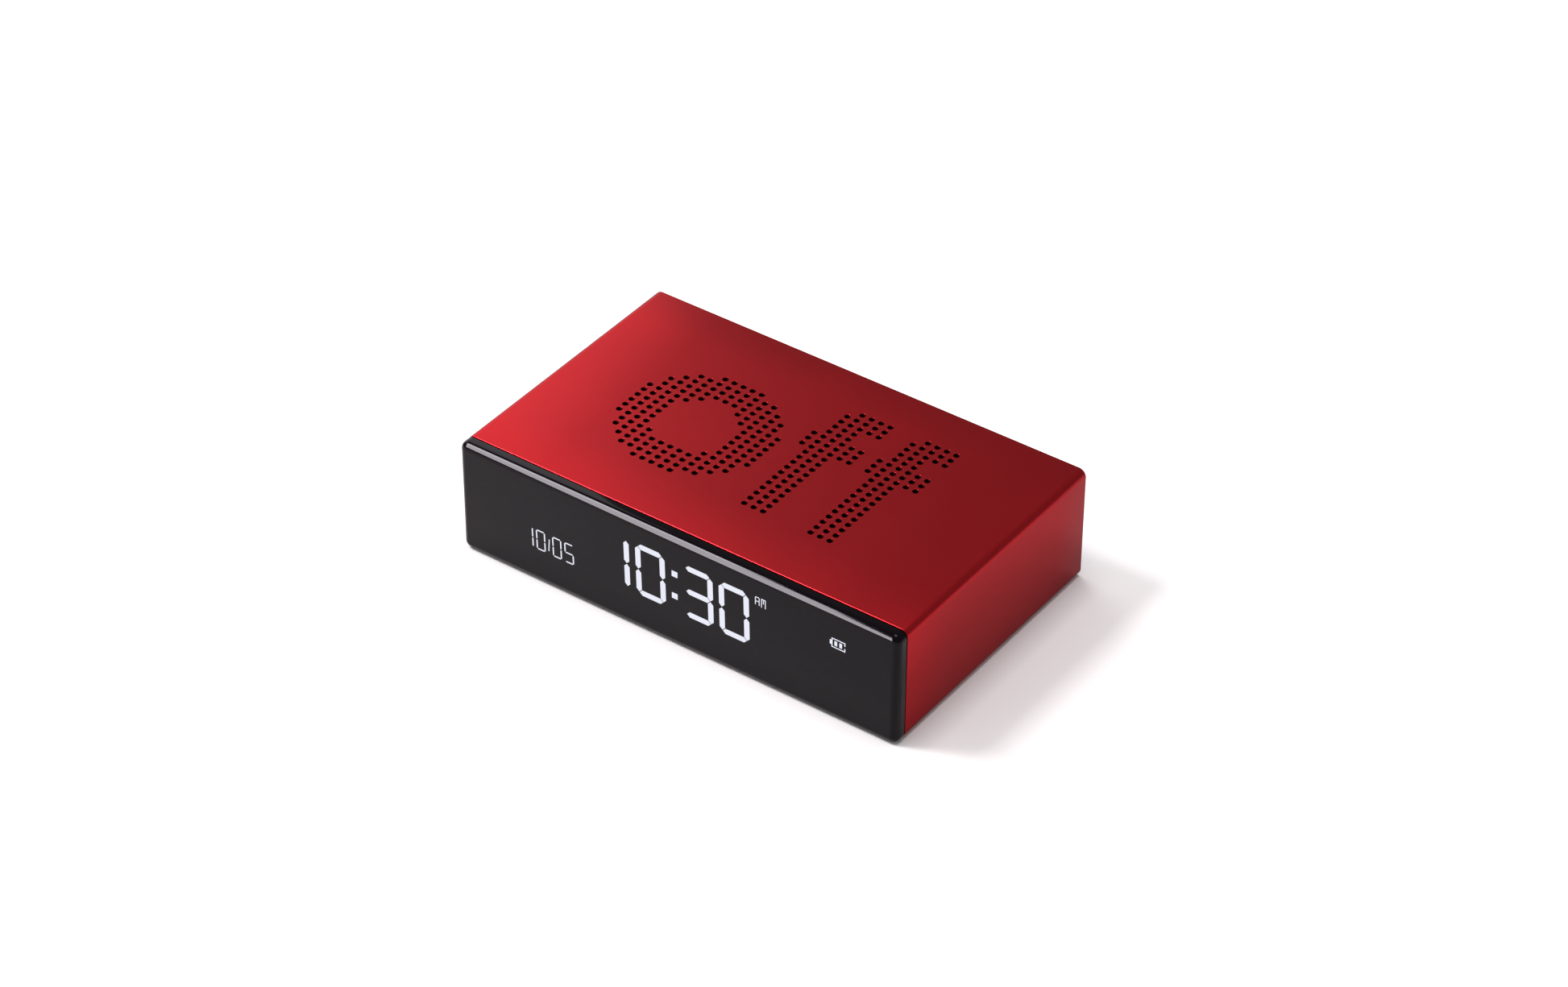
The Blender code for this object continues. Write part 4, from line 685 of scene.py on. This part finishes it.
class CLOCK_OT_window(bpy.types.Operator):
    """Makes the smoked front window with its rounded edge"""

    bl_idname = "clock.window"
    bl_label = "Window"

    def execute(self, context):
        settings = context.scene.clock_window
        corner = context.scene.clock_sleeve.edge_radius
        layers = [(WINDOW_BACK_ROUND, LENS_HIGH.y), (0.0, LENS_HIGH.y - WINDOW_BACK_ROUND)]
        layers += [(inset, LENS_LOW.y + drop)
                   for inset, drop in rounding(settings.edge_radius, WINDOW_FRONT_STEPS)]
        bm = bmesh.new()
        add_stack(bm, [(rounded_rect(WIDTH - 2 * inset, HEIGHT - 2 * inset, corner - inset,
                                     WINDOW_CORNER_STEPS), y)
                       for inset, y in layers], (0, MID_Z))
        window = add_mesh("window_shell", bm, smoked_acrylic(tuple(settings.color), settings.roughness))
        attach(window, "housing")
        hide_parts("front_lens")
        return {"FINISHED"}


LIT_PROUD, LIT_SUNK = 0.02 * MM, 0.1 * MM
SEGMENTS = {"0": "abcdef", "1": "bc", "2": "abged", "3": "abgcd", "4": "fgbc", "5": "afgcd", "6": "afgedc",
            "7": "abc", "8": "abcdefg", "9": "abcdfg", "A": "abcefg"}
SEGMENT_ENDS = {"a": ((0, 2), (1, 2)), "b": ((1, 2), (1, 1)), "c": ((1, 1), (1, 0)), "d": ((0, 0), (1, 0)),
                "e": ((0, 1), (0, 0)), "f": ((0, 2), (0, 1)), "g": ((0, 1), (1, 1))}


def stroke_outline(start, end, thickness, gap):
    """A bar between two points with pointed ends, as segments have."""
    along = (end - start).normalized()
    across = Vector((-along.y, along.x)) * thickness / 2
    first, last = start + along * gap, end - along * gap
    tip = along * thickness / 2
    return [first, first + tip - across, last - tip - across, last, last - tip + across, first + tip + across]


def square_bar(start, end, thickness):
    """A bar between two points that runs half its thickness past each."""
    along = (end - start).normalized() * thickness / 2
    across = Vector((-along.y, along.x))
    return [start - along - across, end + along - across, end + along + across, start - along + across]


def add_digit(bm, digit, right, low, size, thickness, gap, depth, lean=0.0):
    """One digit of seven segments, with its right edge and its foot at a place on the window."""
    width, height = size
    slant = math.tan(lean)
    for name in SEGMENTS[digit]:
        ends = [Vector((right - width + thickness / 2 + column * (width - thickness),
                        low + thickness / 2 + level * (height - thickness) / 2))
                for column, level in SEGMENT_ENDS[name]]
        outline = [(u + (low + height / 2 - v) * slant, v) for u, v in stroke_outline(*ends, thickness, gap)]
        add_plate(bm, outline, *depth)


class CLOCK_OT_display(bpy.types.Operator):
    """Makes the lit segments of the time, the date and the signs"""

    bl_idname = "clock.display"
    bl_label = "Display"

    def execute(self, context):
        settings = context.scene.clock_display
        lit = lit_segments(tuple(settings.color), settings.glow)
        depth = (LENS_LOW.y - LIT_PROUD, LENS_LOW.y + LIT_SUNK)
        for name, make in (("lit_time", add_time), ("lit_date", add_date),
                           ("lit_half_of_day", add_half_of_day), ("lit_battery_sign", add_battery_sign)):
            bm = bmesh.new()
            make(bm, settings, depth)
            piece = add_mesh(name, bm, lit)
            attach(piece, "housing")
        return {"FINISHED"}


# ---- places on the window: x from the clock's middle, heights from its middle height ----
TIME_FOOT = -5.15 * MM
COLON_X, COLON_DOT, COLON_SHARES = 0.5 * MM, 1.6 * MM, (0.29, 0.72)
HOUR_GAP, MINUTE_GAP = 2.6 * MM, 2.4 * MM
HOUR_PITCH, MINUTE_PITCH = 10.0 * MM, 9.85 * MM
TIME_SEGMENT_GAP = 0.12 * MM
DOT_ROUND = 0.05 * MM

DATE_DIGIT, DATE_STROKE, DATE_SEGMENT_GAP = (2.6 * MM, 5.6 * MM), 0.34 * MM, 0.09 * MM
DATE_LEFT, DATE_FOOT = -42.1 * MM, -5.6 * MM
DATE_PITCH, DATE_MIDDLE_ROOM = 3.45 * MM, 1.2 * MM
DATE_SLASH = ((-35.1 * MM, 1.0 * MM), (-34.9 * MM, 4.1 * MM))
DATE_SLASH_SHARE = 0.8

HALF_OF_DAY_LETTER, HALF_OF_DAY_STROKE, HALF_OF_DAY_SEGMENT_GAP = (1.25 * MM, 2.4 * MM), 0.22 * MM, 0.01 * MM
HALF_OF_DAY_LEFT, HALF_OF_DAY_FOOT = 22.5 * MM, 7.0 * MM
HALF_OF_DAY_SPACE, HALF_OF_DAY_MIDDLE_SHARE = 0.4 * MM, 0.45

BATTERY_LEFT, BATTERY_RIGHT = 43.15 * MM, 46.55 * MM
BATTERY_LOW, BATTERY_HIGH = 5.15 * MM, 7.45 * MM
BATTERY_LINE, BATTERY_OPEN_SHARE = 0.27 * MM, 0.3
BATTERY_KNOB, BATTERY_KNOB_OUT = (0.45 * MM, 1.2 * MM), 0.36 * MM
BATTERY_BARS, BATTERY_BAR_WIDTH, BATTERY_BAR_SHARE = (1.0 * MM, 2.3 * MM), 0.72 * MM, 0.56


def add_time(bm, settings, depth):
    """Hours and minutes on either side of the colon."""
    size = (settings.digit_width, settings.digit_height)
    foot = MID_Z + TIME_FOOT
    digits = settings.time_shown.replace(":", "")
    hour = COLON_X - HOUR_GAP
    minute = COLON_X + MINUTE_GAP + settings.digit_width
    for digit, right in zip(digits, (hour - HOUR_PITCH, hour, minute, minute + MINUTE_PITCH)):
        add_digit(bm, digit, right, foot, size, settings.stroke, TIME_SEGMENT_GAP, depth, settings.lean)
    for height_share in COLON_SHARES:
        add_plate(bm, rounded_rect(COLON_DOT, COLON_DOT, DOT_ROUND, 1), *depth,
                  (COLON_X, foot + height_share * settings.digit_height))


def add_date(bm, settings, depth):
    """Month, stroke and day in small digits."""
    foot = MID_Z + DATE_FOOT
    month, day = settings.date_shown.split("/")
    for number, digit in enumerate(month + day):
        room = DATE_MIDDLE_ROOM if number >= len(month) else 0.0
        right = DATE_LEFT + DATE_DIGIT[0] + number * DATE_PITCH + room
        add_digit(bm, digit, right, foot, DATE_DIGIT, DATE_STROKE, DATE_SEGMENT_GAP, depth, settings.lean)
    slash = (Vector((x, foot + height)) for x, height in DATE_SLASH)
    add_plate(bm, square_bar(*slash, DATE_STROKE * DATE_SLASH_SHARE), *depth)


def add_half_of_day(bm, settings, depth):
    """AM in thin strokes beside the time's upper edge."""
    width, height = HALF_OF_DAY_LETTER
    stroke = HALF_OF_DAY_STROKE
    foot = MID_Z + HALF_OF_DAY_FOOT
    add_digit(bm, "A", HALF_OF_DAY_LEFT + width, foot, HALF_OF_DAY_LETTER, stroke, HALF_OF_DAY_SEGMENT_GAP,
              depth)
    start = HALF_OF_DAY_LEFT + width + HALF_OF_DAY_SPACE + stroke / 2
    end = start + width - stroke
    low, top = foot + stroke / 2, foot + height - stroke / 2
    middle = (start + end) / 2
    for a, b in (((start, low), (start, top)), ((end, low), (end, top)), ((start, top), (end, top)),
                 ((middle, top), (middle, top - height * HALF_OF_DAY_MIDDLE_SHARE))):
        add_plate(bm, square_bar(Vector(a), Vector(b), stroke), *depth)


def add_battery_sign(bm, settings, depth):
    """A lying battery with its knob to the left and two bars of charge."""
    left, right = BATTERY_LEFT, BATTERY_RIGHT
    low, high = MID_Z + BATTERY_LOW, MID_Z + BATTERY_HIGH
    lip = (high - low) * BATTERY_OPEN_SHARE
    for a, b in (((left, low), (right, low)), ((left, high), (right, high)), ((left, low), (left, high)),
                 ((right, low), (right, low + lip)), ((right, high), (right, high - lip))):
        add_plate(bm, square_bar(Vector(a), Vector(b), BATTERY_LINE), *depth)
    middle = (low + high) / 2
    add_plate(bm, rounded_rect(*BATTERY_KNOB, DOT_ROUND, 1), *depth, (left - BATTERY_KNOB_OUT, middle))
    for along in BATTERY_BARS:
        add_plate(bm, rounded_rect(BATTERY_BAR_WIDTH, (high - low) * BATTERY_BAR_SHARE, DOT_ROUND, 1), *depth,
                  (left + along, middle))


# ======== back ========


def key_box(name):
    """The low and high corners of a key's solid."""
    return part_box(f"key_{name}")


PILL_FLAT = 0.01 * MM  # keeps the two half rounds from meeting in one point


def pill(width, height, steps, grow=0.0):
    """An outline with half-round ends."""
    return rounded_rect(width + 2 * grow, height + 2 * grow, height / 2 + grow - PILL_FLAT, steps)


KEY_FLANGE_REACH = 1.2 * MM
KEY_GAP = 0.25 * MM
PANEL_THICKNESS = 2.0 * MM
PANEL_CORNER_RADIUS = 0.6 * MM
CUT_PAST = 0.5 * MM  # how far the cutters reach past the faces they open
ROUND_SIDES = 40
SCREW_HOLE_RADIUS, SCREW_SEAT_DEPTH, SCREW_HEAD_GAP = 1.2 * MM, 1.2 * MM, 0.2 * MM
SCREW_SHANK_RADIUS, SCREW_TIP_RADIUS, SCREW_HEAD_HEIGHT = 1.0 * MM, 0.3 * MM, 1.0 * MM
SCREW_DOME_ROUND, SCREW_DOME_STEPS = 0.45 * MM, 5
CROSS_ARM, CROSS_HALF_WIDTH, CROSS_DEPTH, CROSS_PROUD = 1.05 * MM, 0.22 * MM, 0.7 * MM, 0.2 * MM
CROSS_POINT_SHARE = 0.5

KEY_FLANGE_DEPTH, KEY_FLANGE_THICKNESS = 2.3 * MM, 0.8 * MM
KEY_STEM_WIDTH, KEY_INSIDE_RADIUS = 3.0 * MM, 0.3 * MM
KEY_ROUND_STEPS = 5
SIGN_LINE, SIGN_SUNK = 0.3 * MM, 0.05 * MM
DIAL_OUTER, DIAL_INNER, DIAL_SIDES = 1.25 * MM, 0.97 * MM, 32
CLAPPER_RADIUS, CLAPPER_DROP, CLAPPER_SIDES = 0.25 * MM, 1.05 * MM, 12


def key_size(name):
    """(middle, width, height) of a key's cap: the solid's box is its flange's."""
    low, high = key_box(name)
    middle = ((low.x + high.x) / 2, (low.z + high.z) / 2)
    return middle, high.x - low.x - 2 * KEY_FLANGE_REACH, high.z - low.z - 2 * KEY_FLANGE_REACH


class CLOCK_OT_rear_panel(bpy.types.Operator):
    """Makes the rear panel with chamfered openings for the keys, the port and the screws"""

    bl_idname = "clock.rear_panel"
    bl_label = "Rear panel"

    def execute(self, context):
        settings = context.scene.clock_rear
        chamfer = settings.opening_chamfer
        outer = PANEL_HIGH.y
        inner = outer - PANEL_THICKNESS
        width, height = PANEL_HIGH.x - PANEL_LOW.x, PANEL_HIGH.z - PANEL_LOW.z
        bm = bmesh.new()
        layers = ((0.0, inner), (0.0, outer - chamfer), (chamfer, outer))
        add_stack(bm, [(rounded_rect(width - 2 * inset, height - 2 * inset, PANEL_CORNER_RADIUS - inset,
                                     settings.steps), y) for inset, y in layers], (0, MID_Z))
        plastic = grained("rear_panel_plastic", color_of("#211f23"), 0.48, 0.3, 0.012)
        panel = add_mesh("rear_plate", bm, plastic)
        cutters = []
        openings = [(key_size(name)[0], key_size(name)[1:], KEY_GAP) for name in KEYS]
        port = ((PORT_LOW.x + PORT_HIGH.x) / 2, (PORT_LOW.z + PORT_HIGH.z) / 2)
        openings.append((port, (PORT_HIGH.x - PORT_LOW.x, PORT_HIGH.z - PORT_LOW.z), KEY_GAP))
        for middle, (across, tall), gap in openings:
            bm = bmesh.new()
            add_stack(bm, [(pill(across, tall, settings.steps, gap + grow), y) for grow, y in (
                (0.0, inner - CUT_PAST), (0.0, outer - chamfer),
                (chamfer + CUT_PAST, outer + CUT_PAST))], middle)
            cutters.append(add_mesh("opening", bm))
        for side in ("left", "right"):
            low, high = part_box(f"screw_rear_{side}")
            middle = ((low.x + high.x) / 2, (low.z + high.z) / 2)
            head = (high.x - low.x) / 2 + SCREW_HEAD_GAP
            seat = outer - SCREW_SEAT_DEPTH
            bm = bmesh.new()
            add_stack(bm, [(circle(radius, ROUND_SIDES), y) for radius, y in (
                (SCREW_HOLE_RADIUS, inner - CUT_PAST), (SCREW_HOLE_RADIUS, seat), (head, seat),
                (head, outer - chamfer), (head + chamfer + CUT_PAST, outer + CUT_PAST))], middle)
            cutters.append(add_mesh("opening", bm))
        for cutter in cutters:
            modifier = panel.modifiers.new("opening", "BOOLEAN")
            modifier.operation = "DIFFERENCE"
            modifier.object = cutter
        applied(panel)
        for cutter in cutters:
            bpy.data.objects.remove(cutter)
        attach(panel, "housing")
        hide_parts("rear_panel")
        return {"FINISHED"}


def add_ring(bm, outer, inner, sides, depth, center):
    """A flat ring as its layers of quads."""
    low, high = depth
    loops = [[bm.verts.new((center[0] + u, y, center[1] + v)) for u, v in circle(radius, sides)]
             for radius, y in ((outer, low), (outer, high), (inner, high), (inner, low))]
    for a, b in zip(loops, loops[1:] + loops[:1]):
        for i in range(sides):
            bm.faces.new((a[i - 1], a[i], b[i], b[i - 1]))


def add_symbol(bm, name, middle, depth):
    """A plain sign for each key: a dial, a bell, a bar and a cross, in millimetres from the key's middle.

    It reads from behind the clock.
    """
    x, z = middle

    def bar(start, end):
        points = [Vector((x - u * MM, z + v * MM)) for u, v in (start, end)]
        add_plate(bm, square_bar(*points, SIGN_LINE), *depth)

    if name in ("minus", "plus"):
        bar((-0.75, 0), (0.75, 0))
    if name == "plus":
        bar((0, 0.3), (0, 0.75))
        bar((0, -0.3), (0, -0.75))
    if name == "time":
        add_ring(bm, DIAL_OUTER, DIAL_INNER, DIAL_SIDES, depth, middle)
        bar((0, 0), (0, 0.55))
        bar((0.3, 0), (0.4, 0))
    if name == "alarm":
        arc = [(0.85 * math.cos(a), 0.25 + 0.85 * math.sin(a)) for a in
               (math.radians(180 * step / 10) for step in range(11))]
        outline = [(-1.25, -0.75), (1.25, -0.75), (0.85, -0.25), *arc[:-1], (-0.85, 0.25), (-0.85, -0.25)]
        add_plate(bm, [(x - u * MM, z + v * MM) for u, v in outline], *depth)
        clapper = [(u, v - CLAPPER_DROP) for u, v in circle(CLAPPER_RADIUS, CLAPPER_SIDES)]
        add_plate(bm, clapper, *depth, middle)


class CLOCK_OT_keys(bpy.types.Operator):
    """Makes the four keys with their printed signs"""

    bl_idname = "clock.keys"
    bl_label = "Keys"

    def execute(self, context):
        settings = context.scene.clock_rear
        plastic = grained("key_cap_plastic", color_of("#2d2b2f"), 0.42, 0.22, 0.006)
        print_ = grained("key_print", tuple(settings.symbol_color), 0.5, 0.3, 0.002)
        steps = settings.steps
        for name in KEYS:
            low, high = key_box(name)
            middle, width, height = key_size(name)
            flange_top = PANEL_HIGH.y - KEY_FLANGE_DEPTH
            flange_low = flange_top - KEY_FLANGE_THICKNESS
            flange = rounded_rect(high.x - low.x, high.z - low.z, KEY_INSIDE_RADIUS, steps)
            stem = rounded_rect(KEY_STEM_WIDTH, KEY_STEM_WIDTH, KEY_INSIDE_RADIUS, steps)
            layers = [(stem, low.y), (stem, flange_low), (flange, flange_low), (flange, flange_top),
                      (pill(width, height, steps), flange_top)]
            layers += [(pill(width, height, steps, -inset), high.y - drop)
                       for inset, drop in rounding(settings.key_round, KEY_ROUND_STEPS)]
            bm = bmesh.new()
            add_stack(bm, layers, middle)
            cap = add_mesh(f"key_cap_{name}", bm, plastic)
            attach(cap, f"key_{name}_set")
            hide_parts(f"key_{name}")
            bm = bmesh.new()
            add_symbol(bm, name, middle, (high.y - SIGN_SUNK, high.y + settings.symbol_height))
            sign = add_mesh(f"key_sign_{name}", bm, print_)
            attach(sign, f"key_{name}_set")
        return {"FINISHED"}


class CLOCK_OT_rear_screws(bpy.types.Operator):
    """Makes the two cross-head screws of the rear panel"""

    bl_idname = "clock.rear_screws"
    bl_label = "Rear screws"

    def execute(self, context):
        steel = grained("black_zinc_screw", color_of("#5a575b"), 0.34, 0.25, 0.003, 1.0, 0.06)
        for side in ("left", "right"):
            low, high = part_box(f"screw_rear_{side}")
            middle = ((low.x + high.x) / 2, (low.z + high.z) / 2)
            head, shank = (high.x - low.x) / 2, SCREW_SHANK_RADIUS
            seat = high.y - SCREW_HEAD_HEIGHT
            bm = bmesh.new()
            dome = [(head - inset, high.y - drop)
                    for inset, drop in rounding(SCREW_DOME_ROUND, SCREW_DOME_STEPS)]
            profile = [(SCREW_TIP_RADIUS, low.y), (shank, low.y + shank), (shank, seat), (head, seat), *dome]
            add_stack(bm, [(circle(radius, ROUND_SIDES), y) for radius, y in profile], middle)
            screw = add_mesh(f"rear_screw_{side}", bm, steel)
            recess = bmesh.new()
            arm, wide = CROSS_ARM, CROSS_HALF_WIDTH
            cross = [(wide, wide), (wide, arm), (-wide, arm), (-wide, wide), (-arm, wide), (-arm, -wide),
                     (-wide, -wide), (-wide, -arm), (wide, -arm), (wide, -wide), (arm, -wide), (arm, wide)]
            point = [(u * CROSS_POINT_SHARE, v * CROSS_POINT_SHARE) for u, v in cross]
            add_stack(recess, [(point, high.y - CROSS_DEPTH), (cross, high.y + CROSS_PROUD)], middle)
            cutter = add_mesh("cross_recess", recess)
            modifier = screw.modifiers.new("cross_recess", "BOOLEAN")
            modifier.object = cutter
            applied(screw)
            bpy.data.objects.remove(cutter)
            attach(screw, "housing")
            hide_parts(f"screw_rear_{side}")
        return {"FINISHED"}


class CLOCK_OT_insides(bpy.types.Operator):
    """Gives every piece that stays as the frame has it the finish of its slot"""

    bl_idname = "clock.insides"
    bl_label = "Insides"

    def execute(self, context):
        finishes = hidden_finishes()
        for entry in frame["record"]["subparts"]:
            obj = frame["nodes"][entry["node"]]
            finish = finishes.get(entry["material_slot"])
            if finish is None:
                continue
            for place in range(len(obj.material_slots)):
                obj.material_slots[place].material = finish
        return {"FINISHED"}


# ======== stage ========


class CLOCK_OT_stage(bpy.types.Operator):
    """Makes the floor, the lights and the camera"""

    bl_idname = "clock.stage"
    bl_label = "Stage"

    def execute(self, context):
        settings = context.scene.clock_stage
        bm = bmesh.new()
        bm.faces.new([bm.verts.new((x * FLOOR_REACH, y * FLOOR_REACH, -FLOOR_GAP))
                      for x, y in ((-1, -1), (1, -1), (1, 1), (-1, 1))])
        # The floor colour carries a faint pink, painted reflection of the sleeve's red light.
        floor = add_mesh("studio_floor", bm, grained("floor_paper", tuple(settings.floor_color), 0.85, 2.0,
                                                     0.002, mottle=0.004))
        world = bpy.data.worlds.new("studio_sky")
        world.use_nodes = True
        sky = world.node_tree.nodes["Background"]
        sky.inputs["Color"].default_value = (1, 1, 1, 1)
        sky.inputs["Strength"].default_value = settings.sky
        context.scene.world = world
        add_area_light("key_light", KEY_LIGHT_AT, settings.key_power, settings.key_size)
        strip = add_area_light("strip_light", STRIP_LIGHT_AT, settings.strip_power, settings.strip_width,
                               settings.strip_height)
        strip.visible_diffuse = False
        add_area_light("left_card", LEFT_CARD_AT, settings.card_power, settings.card_size)
        add_area_light("top_light", TOP_LIGHT_AT, settings.top_power, settings.top_size)
        add_camera(context.scene)
        context.scene.view_settings.view_transform = "Standard"
        return {"FINISHED"}


def add_area_light(name, place, power, width, height=None):
    """A light that faces the clock, with its height along the line from low in front to high above."""
    light = bpy.data.lights.new(name, "AREA")
    light.shape = "RECTANGLE"
    light.size = width
    light.size_y = height or width
    light.energy = power
    obj = bpy.data.objects.new(name, light)
    back = Vector(place).normalized()
    across = LIGHT_UP.cross(back).normalized()
    turn = Matrix((across, back.cross(across), back)).transposed()
    obj.matrix_world = Matrix.Translation(place) @ turn.to_4x4()
    bpy.context.scene.collection.objects.link(obj)
    return obj


def add_camera(scene):
    """The camera stands to the right, in front of and above the clock."""
    data = bpy.data.cameras.new("camera")
    data.sensor_width = SENSOR_WIDTH_MM
    data.lens = CAMERA_LENS_MM
    data.clip_start, data.clip_end = CLIP_NEAR, CLIP_FAR
    camera = bpy.data.objects.new("camera", data)
    turn = Matrix((CAMERA_RIGHT, CAMERA_RIGHT.cross(CAMERA_FORWARD), -CAMERA_FORWARD)).transposed()
    camera.matrix_world = Matrix.Translation(CAMERA_AT) @ turn.to_4x4()
    scene.collection.objects.link(camera)
    scene.camera = camera


# ======== panel in the sidebar ========


class CLOCK_PT_panel(bpy.types.Panel):
    bl_idname = "CLOCK_PT_panel"
    bl_label = "Travel alarm clock"
    bl_space_type = "VIEW_3D"
    bl_region_type = "UI"
    bl_category = "Clock"

    def draw(self, context):
        for name, group in GROUPS.items():
            box = self.layout.box()
            box.label(text=group.__name__.replace("Settings", ""))
            for prop in group.__annotations__:
                box.prop(getattr(context.scene, name), prop)
        for operator in OPERATORS:
            self.layout.operator(operator.bl_idname)


GROUPS = {
    "clock_sleeve": SleeveSettings,
    "clock_window": WindowSettings,
    "clock_display": DisplaySettings,
    "clock_rear": RearSettings,
    "clock_stage": StageSettings,
}
OPERATORS = (CLOCK_OT_sleeve, CLOCK_OT_window, CLOCK_OT_display, CLOCK_OT_rear_panel, CLOCK_OT_keys,
             CLOCK_OT_rear_screws, CLOCK_OT_insides, CLOCK_OT_stage)


def register():
    for item in (*GROUPS.values(), *OPERATORS, CLOCK_PT_panel):
        bpy.utils.register_class(item)
    for name, group in GROUPS.items():
        setattr(bpy.types.Scene, name, PointerProperty(type=group))


def unregister():
    for name in GROUPS:
        delattr(bpy.types.Scene, name)
    for item in reversed((*GROUPS.values(), *OPERATORS, CLOCK_PT_panel)):
        bpy.utils.unregister_class(item)


def main():
    """Builds every group in turn."""
    register()
    for operator in OPERATORS:
        getattr(bpy.ops.clock, operator.bl_idname.split(".")[1])()


if __name__ == "__main__":
    main()
